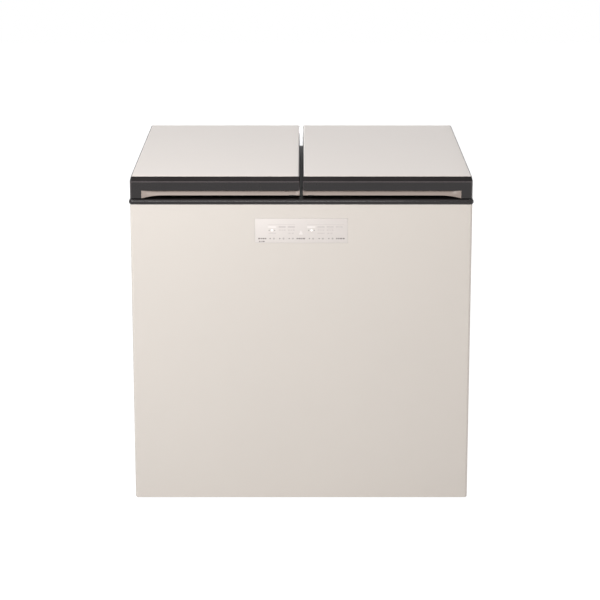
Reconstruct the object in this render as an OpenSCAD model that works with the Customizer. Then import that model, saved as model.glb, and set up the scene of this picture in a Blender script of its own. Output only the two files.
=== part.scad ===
// Kimchi refrigerator: a low chest with two cooled tanks, each under its own lid.
// The front faces -Y, X runs to the right, Z is up and the floor is z = 0.
// The origin lies on the floor under the middle of the whole part. Sizes are millimetres.

/* [Cabinet] */
// Width over the two side sheets
body_w = 920; // [880:5:960]
// Depth from the front sheet to the back sheet
body_d = 788; // [770:4:840]
// Height of the painted front
front_h = 832; // [814:2:864]
// Gap between the floor and the painted front
floor_gap = 6; // [5:0.5:7]
// Thickness of the steel sheets
sheet_t = 1; // [0.8:0.1:1.4]
// Rounding of the cabinet's vertical edges
edge_r = 7; // [5:0.5:10]
// Rounding of the front's two bottom corners
foot_corner_r = 5; // [3:0.5:8]
// How far a side sheet's rear flange turns in
flange_w = 18; // [14:1:24]
// Play where one sheet ends beside another
seam = 0.3; // [0.2:0.1:0.5]

/* [Rim] */
// Height of the dark rim that caps the cabinet
rim_h = 13.5; // [12:0.5:16]
// How far the rim's rounded nose stands proud
rim_proud = 3.5; // [2.5:0.25:5]
// Wall of the rim moulding
rim_wall = 3; // [2.5:0.25:4]

/* [Tanks] */
// Foam between a side sheet and its tank
side_foam = 74; // [64:1:84]
// Foam between the front sheet and the tanks
front_foam = 78; // [70:1:86]
// Foam between the tanks and the back sheet
rear_foam = 110; // [104:1:120]
// Foam between the two tanks
middle_foam = 80; // [74:1:90]
// Foam between a tank's deep well and the machine room behind it
well_foam = 88; // [70:1:110]
// Foam between the machine room and a tank's step above it
step_foam = 63.5; // [50:0.5:80]
// Foam between the base pan and a tank's well
floor_foam = 108.5; // [80:0.5:130]
// Rounding of a tank's vertical corners
tank_r = 40; // [30:1:50]
// Wall of a tank
tank_t = 1.2; // [1:0.1:2]
// Width of the flange around a tank's mouth
tank_flange = 12; // [8:1:16]

/* [Cooling coil] */
// Radius of the coil's tube
coil_r = 4; // [3:0.5:5]
// Height of the coil's lowest run above the tank's step
coil_low = 40; // [30:1:60]
// Depth of its highest run below the rim
coil_high = 86; // [60:1:110]
// Number of runs
coil_runs = 8; // [6:2:10]

/* [Lids] */
// Gap between the two lids
lid_gap = 8.6; // [6:0.2:12]
// Gap between the rim and a lid's lower edge
lid_lift = 3.5; // [3:0.25:4.5]
// Height of a lid's upright dark side
lid_side_h = 45; // [42:1:54]
// Height of the sloping bevel, up to the underside of the top panel
bevel_h = 11; // [9:0.5:14]
// How far the bevel leans in
bevel_in = 3.5; // [2.5:0.25:5]
// How far it leans in beside the gap
gap_bevel_in = 1.2; // [1:0.1:2]
// Height of the frame's lip around the panel
lip_h = 3; // [2:0.25:3.5]
// Thickness of the lip's upper edge
lip_t = 1; // [0.8:0.1:1.4]
// Thickness of the pale top panel
panel_t = 5; // [4:0.5:7]
// Wall of a lid's dark frame
lid_wall = 3; // [2.5:0.25:4]
// Width of the ledge that carries the top panel
ledge_w = 10; // [8:1:14]
// Rounding of a lid's corners beside the gap
gap_r = 3; // [2:0.5:4]
// Thickness of the white inner plate
liner_t = 2; // [1.5:0.25:3]
// How far the plug reaches below the plate
plug_h = 19; // [14:1:24]
// Play between the plug and the tank's mouth
plug_gap = 9; // [7:0.5:12]
// Width of the gasket
gasket_w = 14; // [10:1:16]
// Distance from the tank's mouth to the gasket
gasket_off = 8; // [6:1:10]
// Air under the soft gasket
gasket_air = 0.3; // [0.2:0.05:0.5]

/* [Grip] */
// Height of the opening in a lid's dark front
grip_h = 21; // [19:0.5:24]
// Height of the pale strip seen in it
strip_h = 13; // [11:0.5:15]
// Height of the strip's upright lower edge
strip_foot = 2; // [1:0.5:4]
// How far the strip leans back above that
strip_lean = 7; // [5:0.5:9]
// Wall of the grip moulding
grip_wall = 3; // [2.5:0.25:3.5]
// How far the grip's finger pocket reaches back
grip_d = 34; // [30:1:38]
// Height of the pocket above the strip's lower edge
pocket_h = 20; // [18:0.5:22]
// Width of the dark leg at a lid's outer end
leg_w = 31; // [26:1:40]
// Length over which the strip's lower edge rises
strip_rise_w = 59; // [40:1:80]
// Distance from the middle to a lid's strike tab
tab_x = 26; // [20:1:36]
// Width of the strike tab and its bumper
tab_w = 16; // [10:1:20]
// Height of the strike tab, and of the bumper
tab_h = 1.5; // [1:0.25:2]

/* [Hinges] */
// Pivot behind the back sheet
hinge_back = 14; // [13.5:0.5:16]
// Pivot above a lid's lower edge
hinge_up = 20; // [18:1:24]
// Distance between a lid's two hinges
hinge_span = 260; // [220:5:280]
// Radius of the hinge pin
hinge_pin_r = 4; // [3:0.25:5]
// Radius of the knuckles
knuckle_r = 9; // [8:0.5:10]
// Width of the eye on the lid's arm
eye_w = 20; // [14:1:24]
// Width of the spring cartridge
barrel_w = 22; // [16:1:26]
// Thickness of the bracket's ears and plates
ear_t = 4; // [3:0.5:5]
// Play of a turning pin in its bore
fit = 0.05; // [0.02:0.01:0.08]
// Side play between moving knuckles
side_gap = 0.3; // [0.2:0.1:0.5]

/* [Fasteners] */
// Radius of a screw's shank
screw_r = 2; // [1.5:0.25:2.5]
// Radius of a screw's head
screw_head_r = 4.5; // [3.5:0.25:5]
// Depth that a screw reaches behind its plate
screw_len = 9; // [6:1:12]

/* [Control panel] */
// Width of the control panel
display_w = 250; // [220:2:280]
// Height of the control panel
display_h = 67.5; // [60:0.5:74]
// Distance from the rim down to the control panel
display_drop = 38.5; // [34:0.5:50]
// Margin of the housing around the panel
display_margin = 8; // [6:1:12]
// Depth of the housing behind the front sheet
display_deep = 23; // [20:1:28]

/* [Control box] */
// Distance from the rim down to the middle of the box for the main board
box_drop = 148; // [130:2:170]
// Width of the box for the main board
box_w = 160; // [140:2:170]
// Height of the box
box_h = 180; // [160:2:200]
// Depth of the box in the foam
box_deep = 48; // [40:1:52]
// Wall of the box and of the display housing
box_wall = 2; // [1.5:0.25:3]
// Thickness of the circuit boards
board_t = 1.6; // [1.2:0.2:2]
// Radius of the wiring conduit
conduit_r = 6; // [4:0.5:7]

/* [Machine room] */
// Depth of the machine room
room_d = 262; // [250:2:270]
// Height of the machine room
room_h = 284; // [276:2:290]
// Underside of the base pan above the floor
pan_lift = 12; // [11.5:0.25:13]
// Thickness of the base pan
pan_t = 1.5; // [1.2:0.1:2]
// Height of the base pan's upturned edge
pan_wall = 14; // [10:1:18]
// Radius of the compressor's shell
shell_r = 75; // [68:1:80]
// Height of the compressor's shell
shell_h = 165; // [150:1:175]
// Compressor's middle from the right side
compressor_in = 245; // [235:5:260]
// Condenser's middle from the left side
condenser_in = 230; // [200:5:250]
// Fan's distance left of the compressor
fan_off = 195; // [180:5:205]
// Mains inlet's middle from the right side
inlet_in = 75; // [60:1:90]
// Height of the mains inlet above the base pan
inlet_up = 76.5; // [60:0.5:100]
// Width of a bank of louvres
louvre_w = 160; // [140:2:180]
// Height of a louvre
louvre_h = 6; // [4:0.5:8]
// Height from one louvre to the next
louvre_pitch = 22; // [18:1:24]
// Number of louvres in a bank
louvres_n = 9; // [6:1:9]
// Height of the compressor's rubber mounts
mount_h = 14; // [10:1:16]
// Radius of the fan over its blade tips
fan_r = 70; // [60:1:76]
// Number of fan blades
fan_blades_n = 5; // [4:1:7]
// Radius of the fan's shaft
shaft_r = 2.5; // [2:0.25:3]
// Height of the fan's centre above the base pan
fan_up = 118; // [110:2:124]
// Width of the condenser
condenser_w = 190; // [160:5:210]
// Height of the condenser
condenser_h = 150; // [130:5:160]
// Number of condenser fins
fins_n = 12; // [8:1:14]
// Radius of the refrigerant pipes
pipe_r = 3; // [2.5:0.25:3.5]

/* [Feet and casters] */
// Radius of a front foot's pad
pad_r = 21; // [18:1:24]
// Height of the pad
pad_h = 5; // [4:0.25:5]
// Radius of the foot's threaded stem
stem_r = 5; // [4:0.5:6]
// Width of the socket block over a foot
socket_w = 50; // [40:2:60]
// Height of the socket block
socket_h = 22; // [18:1:26]
// How far the feet sit in from the cabinet's sides
foot_in = 60; // [50:2:80]
// How far the wheels sit in from the cabinet's sides
wheel_in = 70; // [60:2:90]
// How far the wheels sit in from the back sheet
wheel_back = 60; // [50:2:80]
// Radius of a rear wheel
wheel_r = 18; // [17:0.5:20]
// Width of a rear wheel
wheel_w = 18; // [14:1:22]
// Radius of a wheel's axle
axle_r = 3; // [2.5:0.25:4]

/* [Hidden] */
$fn = 64;
eps = 1;                // how far a cut runs past a face
soft_gap = 0.2;         // play between a tube and the wall that it lies along
ceiling_drop = 12;      // height between two pipes under the machine room's ceiling

rear_out = hinge_back + knuckle_r;
front_y = -(body_d + rear_out - rim_proud) / 2;
back_y = front_y + body_d;
mid_y = front_y + body_d / 2;
inner_w = body_w - 2 * sheet_t;
inner_d = body_d - 2 * sheet_t;
inner_r = edge_r - sheet_t;
seam_y = front_y + edge_r + flange_w;

z_rim = floor_gap + front_h;
z_rim_top = z_rim + rim_h;
z_lid = z_rim_top + lid_lift;
z_bevel = z_lid + lid_side_h;
z_panel = z_bevel + bevel_h;
z_top = z_panel + panel_t;
z_lip = z_panel + lip_h;                 // upper edge of the frame's lip
z_pan = pan_lift + pan_t;
z_room = z_pan + room_h;
z_step = z_room + sheet_t + step_foam;
z_well = z_pan + floor_foam;
well_h = z_step - z_well;

tank_w = (body_w - middle_foam - 2 * side_foam) / 2;
tank_d = body_d - front_foam - rear_foam;
well_d = body_d - room_d - well_foam - front_foam;
tank_y = front_y + front_foam;
tank_back = tank_y + tank_d;
room_y = back_y - room_d;

lid_w = (body_w - lid_gap) / 2;
panel_w = lid_w - bevel_in - gap_bevel_in - 2 * lip_t;
panel_d = body_d - 2 * (bevel_in + lip_t);
z_strip = z_lid + grip_h - strip_h;      // the strip's straight lower edge
z_grip = z_lid + grip_h;                 // the dark front's lower edge
z_pocket = z_strip + pocket_h;           // the pocket's ceiling
leg_x = body_w / 2 - leg_w;              // where the strip ends beside the dark leg
liner_z = z_lid + liner_t;               // underside of the white inner plate

pivot_y = back_y + hinge_back;
pivot_z = z_lid + hinge_up;
ears_w = eye_w + barrel_w + 2 * side_gap;
tab_plate = 12;                          // how far a bracket's plate reaches past its ears
bracket_w = ears_w + 2 * (ear_t + tab_plate);
bracket_z0 = z_rim - 46;                 // a bracket's lower edge
bracket_z1 = z_rim + 8;
arm_t = 3;                               // thickness of the plate of a lid's hinge arm
leaf_w = ears_w + 2 * tab_plate;

display_z = z_rim - display_drop - display_h / 2;
box_z = z_rim - box_drop;
cover_t = 1.5;
cover_lap = 10;                          // how far the board cover laps over the back sheet
post_h = 8;                              // posts that hold a board off its box
inlet_x = body_w / 2 - inlet_in;
inlet_z = z_pan + inlet_up;
inlet_half_w = 14;
inlet_half_h = 10;

coil_z = z_step + coil_low;
coil_top = z_rim - coil_high;
coil_pitch = (coil_top - coil_z) / (coil_runs - 1);
coil_len = tank_d - 2 * tank_r - coil_pitch;
coil_y1 = tank_back - tank_r - coil_pitch / 2;

compressor_x = body_w / 2 - compressor_in;
compressor_y = back_y - shell_r - 60;
z_mounted = z_pan + mount_h;
shell_foot = 3;                          // thickness of the plate under the compressor
shell_z = z_mounted + shell_foot;
suction_y = back_y - 108;
capillary_y = suction_y - 20;
discharge_y = suction_y - 47;
stub_x = 30;                             // the compressor's stubs sit this far off its middle
stub_h = 14;
stub_z = shell_z + shell_h + stub_h;
fan_x = compressor_x - fan_off;
fan_z = z_pan + fan_up;
fan_y = room_y + room_d / 2;
condenser_x = condenser_in - body_w / 2;
fin_lift = 6;                            // the fins between the end plates stop above the pan
condenser_top = z_pan + fin_lift + condenser_h;
drier_r = 9;
drier_h = 70;
shroud_t = 2;
shroud_h = 226;
bar_x = 18;                              // from the shroud to the bar that holds the motor
bar_t = 2;
bar_half = 10;
motor_x = fan_x + bar_x + bar_t;
motor_l = 34;
motor_r = 26;
hub_front = 14;                          // how far the hub reaches in front of the shroud
hub_rear = 10;
hub_r = 18;
shaft_lead = 12;                         // how far the shaft reaches into the hub
shaft_seat = 22;                         // how far it reaches into the motor

foot_x = body_w / 2 - foot_in;
foot_y = front_y + foot_in;
foot_travel = 12;
hex_z = pad_h + 0.5;
wheel_x = body_w / 2 - wheel_in;
wheel_y = back_y - wheel_back;
housing_wall = 2;
housing_w = wheel_w + 2 * housing_wall + 2;
housing_d = 2 * wheel_r + 8;
housing_top = 2 * wheel_r + 6;

sides = [-1, 1];

// ---- shared shapes ----

// Rectangle with round corners, centred
module rounded(w, d, r) {
    square([w - 2 * r, d], center = true);
    square([w, d - 2 * r], center = true);
    for (x = sides, y = sides)
        translate([x * (w / 2 - r), y * (d / 2 - r)]) circle(r);
}

// Block given by its lowest and highest corners
module block(low, high) {
    translate(low) cube(high - low);
}

// Turns what follows from +Z to the direction of a vector
module along(v) {
    rotate([0, acos(v.z / norm(v)), atan2(v.y, v.x)]) children();
}

// Pipe through a list of points, round at each bend
module pipe(points, r) {
    for (i = [0 : len(points) - 2]) {
        v = points[i + 1] - points[i];
        translate(points[i]) along(v) cylinder(h = norm(v), r = r, $fn = 24);
        if (i > 0) translate(points[i]) sphere(r, $fn = 24);
    }
}

// Cylinder along X between two x values
module rod_x(x0, x1, y, z, r) {
    translate([x0, y, z]) rotate([0, 90, 0]) cylinder(h = x1 - x0, r = r);
}

// Cylinder along Y between two y values
module rod_y(y0, y1, x, z, r) {
    translate([x, y0, z]) rotate([-90, 0, 0]) cylinder(h = y1 - y0, r = r);
}

// Outline in X and Z, run along Y
module along_y(y0, y1) {
    translate([0, y1, 0]) rotate([90, 0, 0]) linear_extrude(y1 - y0) children();
}

// Outline in Y and Z, run along X
module along_x(x0, x1) {
    translate([x0, 0, 0]) rotate([90, 0, 90]) linear_extrude(x1 - x0) children();
}

// ---- cabinet ----

function tank_x(s) = s * (middle_foam + tank_w) / 2;

// Space inside the folded sheets, between two heights
module cabinet_space(z0, z1) {
    translate([0, mid_y, z0]) linear_extrude(z1 - z0) rounded(inner_w, inner_d, inner_r);
}

// Folded outer sheet, all round
module sheet_ring() {
    difference() {
        translate([0, mid_y, floor_gap]) linear_extrude(front_h) rounded(body_w, body_d, edge_r);
        cabinet_space(floor_gap - eps, z_rim + eps);
    }
}

// Window that the control panel shows through
module display_window(grow) {
    block([-display_w / 2 - grow, front_y - eps, display_z - display_h / 2 - grow],
          [display_w / 2 + grow, front_y + sheet_t + eps, display_z + display_h / 2 + grow]);
}

// Painted front: one sheet whose round edges turn back along the sides
module front_panel() {
    color("#dcd4cc")
    intersection() {
        difference() {
            sheet_ring();
            display_window(seam);
            block([-body_w, seam_y - seam, 0], [body_w, back_y + eps, z_top]);
        }
        along_y(front_y - eps, seam_y) translate([0, floor_gap + front_h / 2 + foot_corner_r])
            rounded(body_w + 2 * eps, front_h + 2 * foot_corner_r, foot_corner_r);
        along_y(front_y - eps, seam_y) union() {
            translate([0, floor_gap + front_h / 2]) rounded(body_w, front_h, foot_corner_r);
            translate([-body_w / 2, z_rim - 2 * foot_corner_r])
                square([body_w, 2 * foot_corner_r]);
        }
    }
}

// Painted side sheet with a flange that turns in at the back
module side_panel(s) {
    color("#d8cfc6")
    intersection() {
        sheet_ring();
        union() {
            block([s > 0 ? 0 : -body_w, seam_y, 0], [s > 0 ? body_w : 0, back_y - edge_r, z_top]);
            block([s > 0 ? body_w / 2 - flange_w : -body_w, back_y - edge_r - eps, 0],
                  [s > 0 ? body_w : flange_w - body_w / 2, back_y + eps, z_top]);
        }
    }
}

// Bare sheet between the side sheets' flanges, above the machine room
module back_panel() {
    half = body_w / 2 - flange_w - seam;
    color("#b9bcbd")
    difference() {
        block([-half, back_y - sheet_t, z_room + seam], [half, back_y, z_rim]);
        block([-box_w / 2 - seam, back_y - 2 * sheet_t, box_z - box_h / 2 - seam],
              [box_w / 2 + seam, back_y + eps, box_z + box_h / 2 + seam]);
        rear_screw_holes(screw_r + fit);
    }
}

// Pan that closes the cabinet's bottom and carries the compressor, feet and casters
module base_pan_form() {
    difference() {
        cabinet_space(pan_lift, z_pan + pan_wall);
        translate([0, mid_y, z_pan]) linear_extrude(pan_wall + eps)
            rounded(inner_w - 2 * pan_t, inner_d - 2 * pan_t, inner_r - pan_t);
    }
}

module base_pan() {
    color("#8d9092")
    difference() {
        base_pan_form();
        for (s = sides) {
            translate([s * foot_x, foot_y, 0]) cylinder(h = z_pan + eps, r = stem_r + 1);
            translate([s * wheel_x, wheel_y, 0]) linear_extrude(z_pan + eps)
                square([housing_w, housing_d], center = true);
        }
        mount_sites() cylinder(h = z_pan + eps, r = screw_r + fit);
    }
}

// Stepped sheet between the foam and the machine room
module partition_form() {
    intersection() {
        cabinet_space(z_pan, z_room + sheet_t);
        union() {
            block([-body_w, room_y - sheet_t, 0], [body_w, room_y, z_room + sheet_t]);
            block([-body_w, room_y - eps / 2, z_room], [body_w, back_y, z_room + sheet_t]);
        }
    }
}

module machine_partition() {
    color("#a6abad")
    difference() {
        partition_form();
        base_pan_form();
        line_channels();
    }
}

// Louvred sheet over the machine room
module machine_cover() {
    half = body_w / 2 - flange_w - seam;
    bank_pitch = 0.85 * 2 * half / 3;
    low = z_pan + (room_h - (louvres_n - 1) * louvre_pitch) / 2;
    color("#b0b4b6")
    difference() {
        block([-half, back_y - sheet_t, z_pan + pan_wall + seam], [half, back_y, z_room]);
        for (bank = [-1, 0, 1], row = [0 : louvres_n - 1])
            block([bank * bank_pitch - louvre_w / 2, back_y - 2 * sheet_t,
                   low + row * louvre_pitch - louvre_h / 2],
                  [bank * bank_pitch + louvre_w / 2, back_y + eps,
                   low + row * louvre_pitch + louvre_h / 2]);
        inlet_cut(seam);
        rear_screw_holes(screw_r + fit);
    }
}

// Foam poured between the sheets, the tanks and the rim
module insulation() {
    color("#e8dfb4")
    difference() {
        union() {
            cabinet_space(z_pan, z_rim);
            translate([0, mid_y, z_rim]) linear_extrude(rim_h - rim_wall) rim_pocket();
        }
        base_pan_form();
        for (s = sides) {
            tank_form(s, tank_t, z_rim_top);
            tank_lip(s);
            coil_pocket(s);
            foot_pocket(s);
        }
        block([-body_w, room_y - sheet_t, 0], [body_w, back_y + eps, z_room + sheet_t]);
        display_pocket();
        block([-box_w / 2, back_y - sheet_t - box_deep, box_z - box_h / 2],
              [box_w / 2, back_y + eps, box_z + box_h / 2]);
        rod_y(front_y, back_y, 0, display_z, conduit_r);
        line_channels();
        rear_screw_holes(screw_r + fit);
    }
}

// ---- tanks ----

// A tank's space: a long upper part over a well at the front
module tank_form(s, grow, top) {
    translate([tank_x(s), tank_y + tank_d / 2, z_step - grow]) linear_extrude(top - z_step + grow)
        rounded(tank_w + 2 * grow, tank_d + 2 * grow, tank_r + grow);
    translate([tank_x(s), tank_y + well_d / 2, z_well - grow]) linear_extrude(well_h + eps)
        rounded(tank_w + 2 * grow, well_d + 2 * grow, tank_r + grow);
}

// Flange that the rim holds down
module tank_lip(s) {
    translate([tank_x(s), tank_y + tank_d / 2, z_rim - tank_t]) linear_extrude(tank_t)
        rounded(tank_w + 2 * tank_flange, tank_d + 2 * tank_flange, tank_r + tank_flange);
}

module tank(s) {
    color("#cfd2d4")
    difference() {
        union() {
            tank_form(s, tank_t, z_rim);
            tank_lip(s);
        }
        tank_form(s, 0, z_rim_top);
    }
}

// Outline of the hollow under the rim, which the foam fills
module rim_pocket() {
    difference() {
        rounded(body_w - 2 * rim_wall, body_d - 2 * rim_wall, edge_r - rim_wall);
        for (s = sides)
            translate([tank_x(s), tank_y + tank_d / 2 - mid_y])
                rounded(tank_w + 2 * rim_wall, tank_d + 2 * rim_wall, tank_r + rim_wall);
    }
}

// Cross-section of the rim's rounded nose, outward along +X from the cabinet's face
module nose_section() {
    half = rim_h / 2;
    arc_r = (half * half + rim_proud * rim_proud) / (2 * rim_proud);
    intersection() {
        translate([rim_proud - arc_r, half]) circle(arc_r, $fn = 96);
        translate([-rim_wall / 2, 0]) square([rim_wall, rim_h] + [rim_proud, 0]);
    }
}

module nose() {
    for (s = sides) {
        translate([0, back_y, z_rim]) rotate([90, 0, 0]) linear_extrude(body_d - edge_r)
            translate([s * body_w / 2, 0]) mirror([s < 0 ? 1 : 0, 0]) nose_section();
        translate([s * (body_w / 2 - edge_r), front_y + edge_r, z_rim])
            rotate([0, 0, s > 0 ? -90 : 180]) rotate_extrude(angle = 90)
                translate([edge_r, 0]) nose_section();
    }
    translate([-body_w / 2 + edge_r, front_y, z_rim]) rotate([90, 0, 90])
        linear_extrude(body_w - 2 * edge_r) mirror([1, 0]) nose_section();
}

// Dark moulding on top of the cabinet, with a mouth for each tank
module top_rim() {
    color("#3c3638")
    union() {
        difference() {
            translate([0, mid_y, z_rim]) linear_extrude(rim_h) rounded(body_w, body_d, edge_r);
            translate([0, mid_y, z_rim - eps]) linear_extrude(rim_h - rim_wall + eps) rim_pocket();
            for (s = sides) tank_form(s, 0, z_lid);
        }
        nose();
    }
}

// Small pads that a lid's strike tabs come down on
module rim_bumpers() {
    color("#2c2829")
    for (s = sides)
        translate([s * tab_x, front_y + 6, z_rim_top]) linear_extrude(tab_h)
            rounded(tab_w, 8, 2);
}

// ---- cooling ----

// Tube that runs to and fro along Y, climbing in Z
module serpentine(runs, length, pitch, r) {
    for (i = [0 : runs - 1])
        rod_y(-length, 0, 0, i * pitch, r);
    for (i = [0 : runs - 2])
        translate([0, i % 2 == 0 ? -length : 0, (i + 0.5) * pitch])
            rotate([0, -90, 0]) rotate([0, 0, i % 2 == 0 ? 180 : 0])
                rotate_extrude(angle = 180) translate([pitch / 2, 0]) circle(r);
}

function coil_x(s) = s * (middle_foam / 2 + tank_w + tank_t + coil_r + soft_gap);

module evaporators() {
    color("#b87f56")
    for (s = sides)
        translate([coil_x(s), coil_y1, coil_z]) serpentine(coil_runs, coil_len, coil_pitch, coil_r);
}

// Room for the coil in the foam
module coil_pocket(s) {
    reach = coil_pitch / 2 + 2 * coil_r;
    translate([coil_x(s), coil_y1 - coil_len / 2, coil_z - 2 * coil_r])
        linear_extrude(coil_top - coil_z + 4 * coil_r)
            square([2 * (coil_r + soft_gap), coil_len + 2 * reach], center = true);
}

// Places of the compressor's four mounts
module mount_sites() {
    for (x = sides, y = sides)
        translate([compressor_x + x * (shell_r - 8), compressor_y + y * (shell_r - 8), 0])
            children();
}

module compressor() {
    color("#26282a")
    difference() {
        union() {
            translate([compressor_x, compressor_y, z_mounted]) linear_extrude(shell_foot + eps)
                rounded(2 * shell_r + 14, 2 * shell_r + 14, 12);
            translate([compressor_x, compressor_y, shell_z]) rotate_extrude() intersection() {
                translate([0, shell_h / 2]) rounded(2 * shell_r, shell_h, shell_r / 2);
                square([shell_r, shell_h]);
            }
            translate([compressor_x - stub_x, discharge_y, shell_z + shell_h / 2])
                cylinder(h = shell_h / 2 + stub_h, r = pipe_r + 1);
            translate([compressor_x + stub_x, suction_y, shell_z + shell_h / 2])
                cylinder(h = shell_h / 2 + stub_h, r = pipe_r + 1);
        }
        mount_sites() cylinder(h = shell_z + 1.5 * eps, r = screw_r + fit);
    }
}

// Rubber feet, each on its own bolt
module compressor_mounts() {
    color("#161616")
    mount_sites() {
        translate([0, 0, z_pan]) cylinder(h = mount_h, r = 9);
        translate([0, 0, pan_lift - 2]) cylinder(h = shell_z - pan_lift + eps + 3, r = screw_r);
        translate([0, 0, shell_z + eps]) cylinder(h = 3, r = screw_head_r);
    }
}

// Cap over the compressor's terminals, on the side towards the back
module terminal_cover() {
    half = 28;
    out = 22;
    low = shell_z + 50;
    color("#1d1d1f")
    difference() {
        block([compressor_x - half, compressor_y + shell_r - 16, low],
              [compressor_x + half, compressor_y + shell_r + out, low + 66]);
        translate([compressor_x, compressor_y, shell_z]) cylinder(h = shell_h, r = shell_r);
    }
}

// Two columns of tube through a stack of fins
module condenser() {
    wall_gap = 24;
    tube_out = 8;
    fin_t = 1.2;
    rows = 4;
    row_in = 15;
    y0 = room_y + wall_gap;
    y1 = back_y - wall_gap;
    fin_pitch = (y1 - y0 - 2 * tube_out) / (fins_n - 1);
    row_pitch = (condenser_h - 2 * row_in) / (rows - 1);
    row_z = condenser_top - row_in;
    color("#9b9fa1")
    union() {
        for (i = [0 : fins_n - 1])
            let (y = y0 + tube_out + i * fin_pitch, end = i == 0 || i == fins_n - 1)
                block([condenser_x - condenser_w / 2, y - fin_t / 2, end ? z_pan : z_pan + fin_lift],
                      [condenser_x + condenser_w / 2, y + fin_t / 2, condenser_top]);
        for (c = sides, row = [0 : rows - 1])
            rod_y(y0, y1, condenser_x + c * condenser_w / 4, row_z - row * row_pitch, coil_r);
        translate([condenser_x + condenser_w / 4, discharge_y, row_z])
            cylinder(h = row_in + stub_h, r = pipe_r + 1);
        translate([condenser_x - condenser_w / 4, capillary_y, row_z])
            cylinder(h = row_in + stub_h, r = pipe_r + 1);
    }
}

// Drying cartridge on the condenser's outlet
module filter_drier() {
    color("#b87f56")
    translate([condenser_x - condenser_w / 4, capillary_y, condenser_top + stub_h])
        cylinder(h = drier_h, r = drier_r);
}

// Suction lines from both coils to the compressor
module suction_line(r) {
    z = z_room - ceiling_drop;
    for (s = sides)
        pipe([[coil_x(s), coil_y1, coil_top], [coil_x(s), suction_y, coil_top],
              [coil_x(s), suction_y, z], [compressor_x + stub_x, suction_y, z]], r);
    pipe([[compressor_x + stub_x, suction_y, stub_z], [compressor_x + stub_x, suction_y, z],
          [compressor_x + stub_x + 1, suction_y, z]], r);
}

// Thin lines from the drier to both coils
module capillary_line(r) {
    z = z_room - 2 * ceiling_drop;
    x = condenser_x - condenser_w / 4;
    for (s = sides)
        pipe([[x, capillary_y, z], [coil_x(s), capillary_y, z], [coil_x(s), capillary_y, coil_z],
              [coil_x(s), coil_y1, coil_z]], r);
    pipe([[x, capillary_y, condenser_top + stub_h + drier_h], [x, capillary_y, z],
          [x + 1, capillary_y, z]], r);
}

// Hot line from the compressor to the condenser
module discharge_line(r) {
    z = z_room - 3 * ceiling_drop;
    x = condenser_x + condenser_w / 4;
    pipe([[compressor_x - stub_x, discharge_y, stub_z], [compressor_x - stub_x, discharge_y, z],
          [x, discharge_y, z], [x, discharge_y, condenser_top + stub_h]], r);
}

module refrigerant_pipes() {
    color("#b87f56") {
        suction_line(pipe_r);
        capillary_line(pipe_r / 2);
        discharge_line(pipe_r);
    }
}

// Ways for the lines through the foam and the partition
module line_channels() {
    suction_line(pipe_r + soft_gap);
    capillary_line(pipe_r / 2 + soft_gap);
}

// Upright plate with the fan's opening and a bar that holds the motor
module fan_shroud() {
    hole_r = fan_r + 5;
    leg_z = hole_r + 6;                  // the bar's two legs stand this far from the axis
    leg_half = 5;
    color("#3a3c3e")
    difference() {
        union() {
            difference() {
                block([fan_x - shroud_t / 2, room_y, z_pan],
                      [fan_x + shroud_t / 2, back_y - 6, z_pan + shroud_h]);
                rod_x(fan_x - shroud_t, fan_x + shroud_t, fan_y, fan_z, hole_r);
            }
            for (s = sides)
                block([fan_x, fan_y - bar_half, fan_z + s * leg_z - leg_half],
                      [fan_x + bar_x, fan_y + bar_half, fan_z + s * leg_z + leg_half]);
            block([fan_x + bar_x, fan_y - bar_half, fan_z - leg_z - leg_half],
                  [motor_x, fan_y + bar_half, fan_z + leg_z + leg_half]);
        }
        rod_x(fan_x, fan_x + 2 * bar_x, fan_y, fan_z, shaft_r + 1);
    }
}

module fan_motor() {
    nose_l = 6;
    color("#55585a")
    difference() {
        union() {
            rod_x(motor_x, motor_x + motor_l, fan_y, fan_z, motor_r);
            rod_x(motor_x + motor_l, motor_x + motor_l + nose_l, fan_y, fan_z, motor_r / 2 - 1);
        }
        rod_x(motor_x - eps, motor_x + shaft_seat + 2, fan_y, fan_z, shaft_r + fit);
    }
}

module fan_shaft() {
    color("#c4c7c9")
    rod_x(fan_x - shaft_lead, motor_x + shaft_seat, fan_y, fan_z, shaft_r);
}

module fan_blades() {
    blade_t = 2;
    blade_w = 48;
    blade_turn = 32;
    color("#2b2d2f")
    difference() {
        union() {
            rod_x(fan_x - hub_front, fan_x + hub_rear, fan_y, fan_z, hub_r);
            intersection() {
                rod_x(fan_x - hub_front, fan_x + hub_rear, fan_y, fan_z, fan_r);
                translate([fan_x - (hub_front - hub_rear) / 2, fan_y, fan_z])
                    for (i = [0 : fan_blades_n - 1])
                        rotate([i * 360 / fan_blades_n, 0, 0]) rotate([0, 0, blade_turn])
                            block([-blade_t / 2, -blade_w / 2, 0],
                                  [blade_t / 2, blade_w / 2, fan_r + 10]);
            }
        }
        rod_x(fan_x - shaft_lead, fan_x + bar_x, fan_y, fan_z, shaft_r + fit);
    }
}

// ---- controls ----

// Shallow box behind the control panel
module display_pocket() {
    block([-display_w / 2 - display_margin, front_y, display_z - display_h / 2 - display_margin],
          [display_w / 2 + display_margin, front_y + sheet_t + display_deep,
           display_z + display_h / 2 + display_margin]);
}

// Flush window plate with a hidden flange behind the sheet
plate_flange = 1.5;
module display_plate() {
    color("#dfd6d2")
    union() {
        block([-display_w / 2, front_y, display_z - display_h / 2],
              [display_w / 2, front_y + sheet_t + plate_flange / 2, display_z + display_h / 2]);
        block([-display_w / 2 - display_margin, front_y + sheet_t,
               display_z - display_h / 2 - display_margin],
              [display_w / 2 + display_margin, front_y + sheet_t + plate_flange,
               display_z + display_h / 2 + display_margin]);
    }
}

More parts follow.
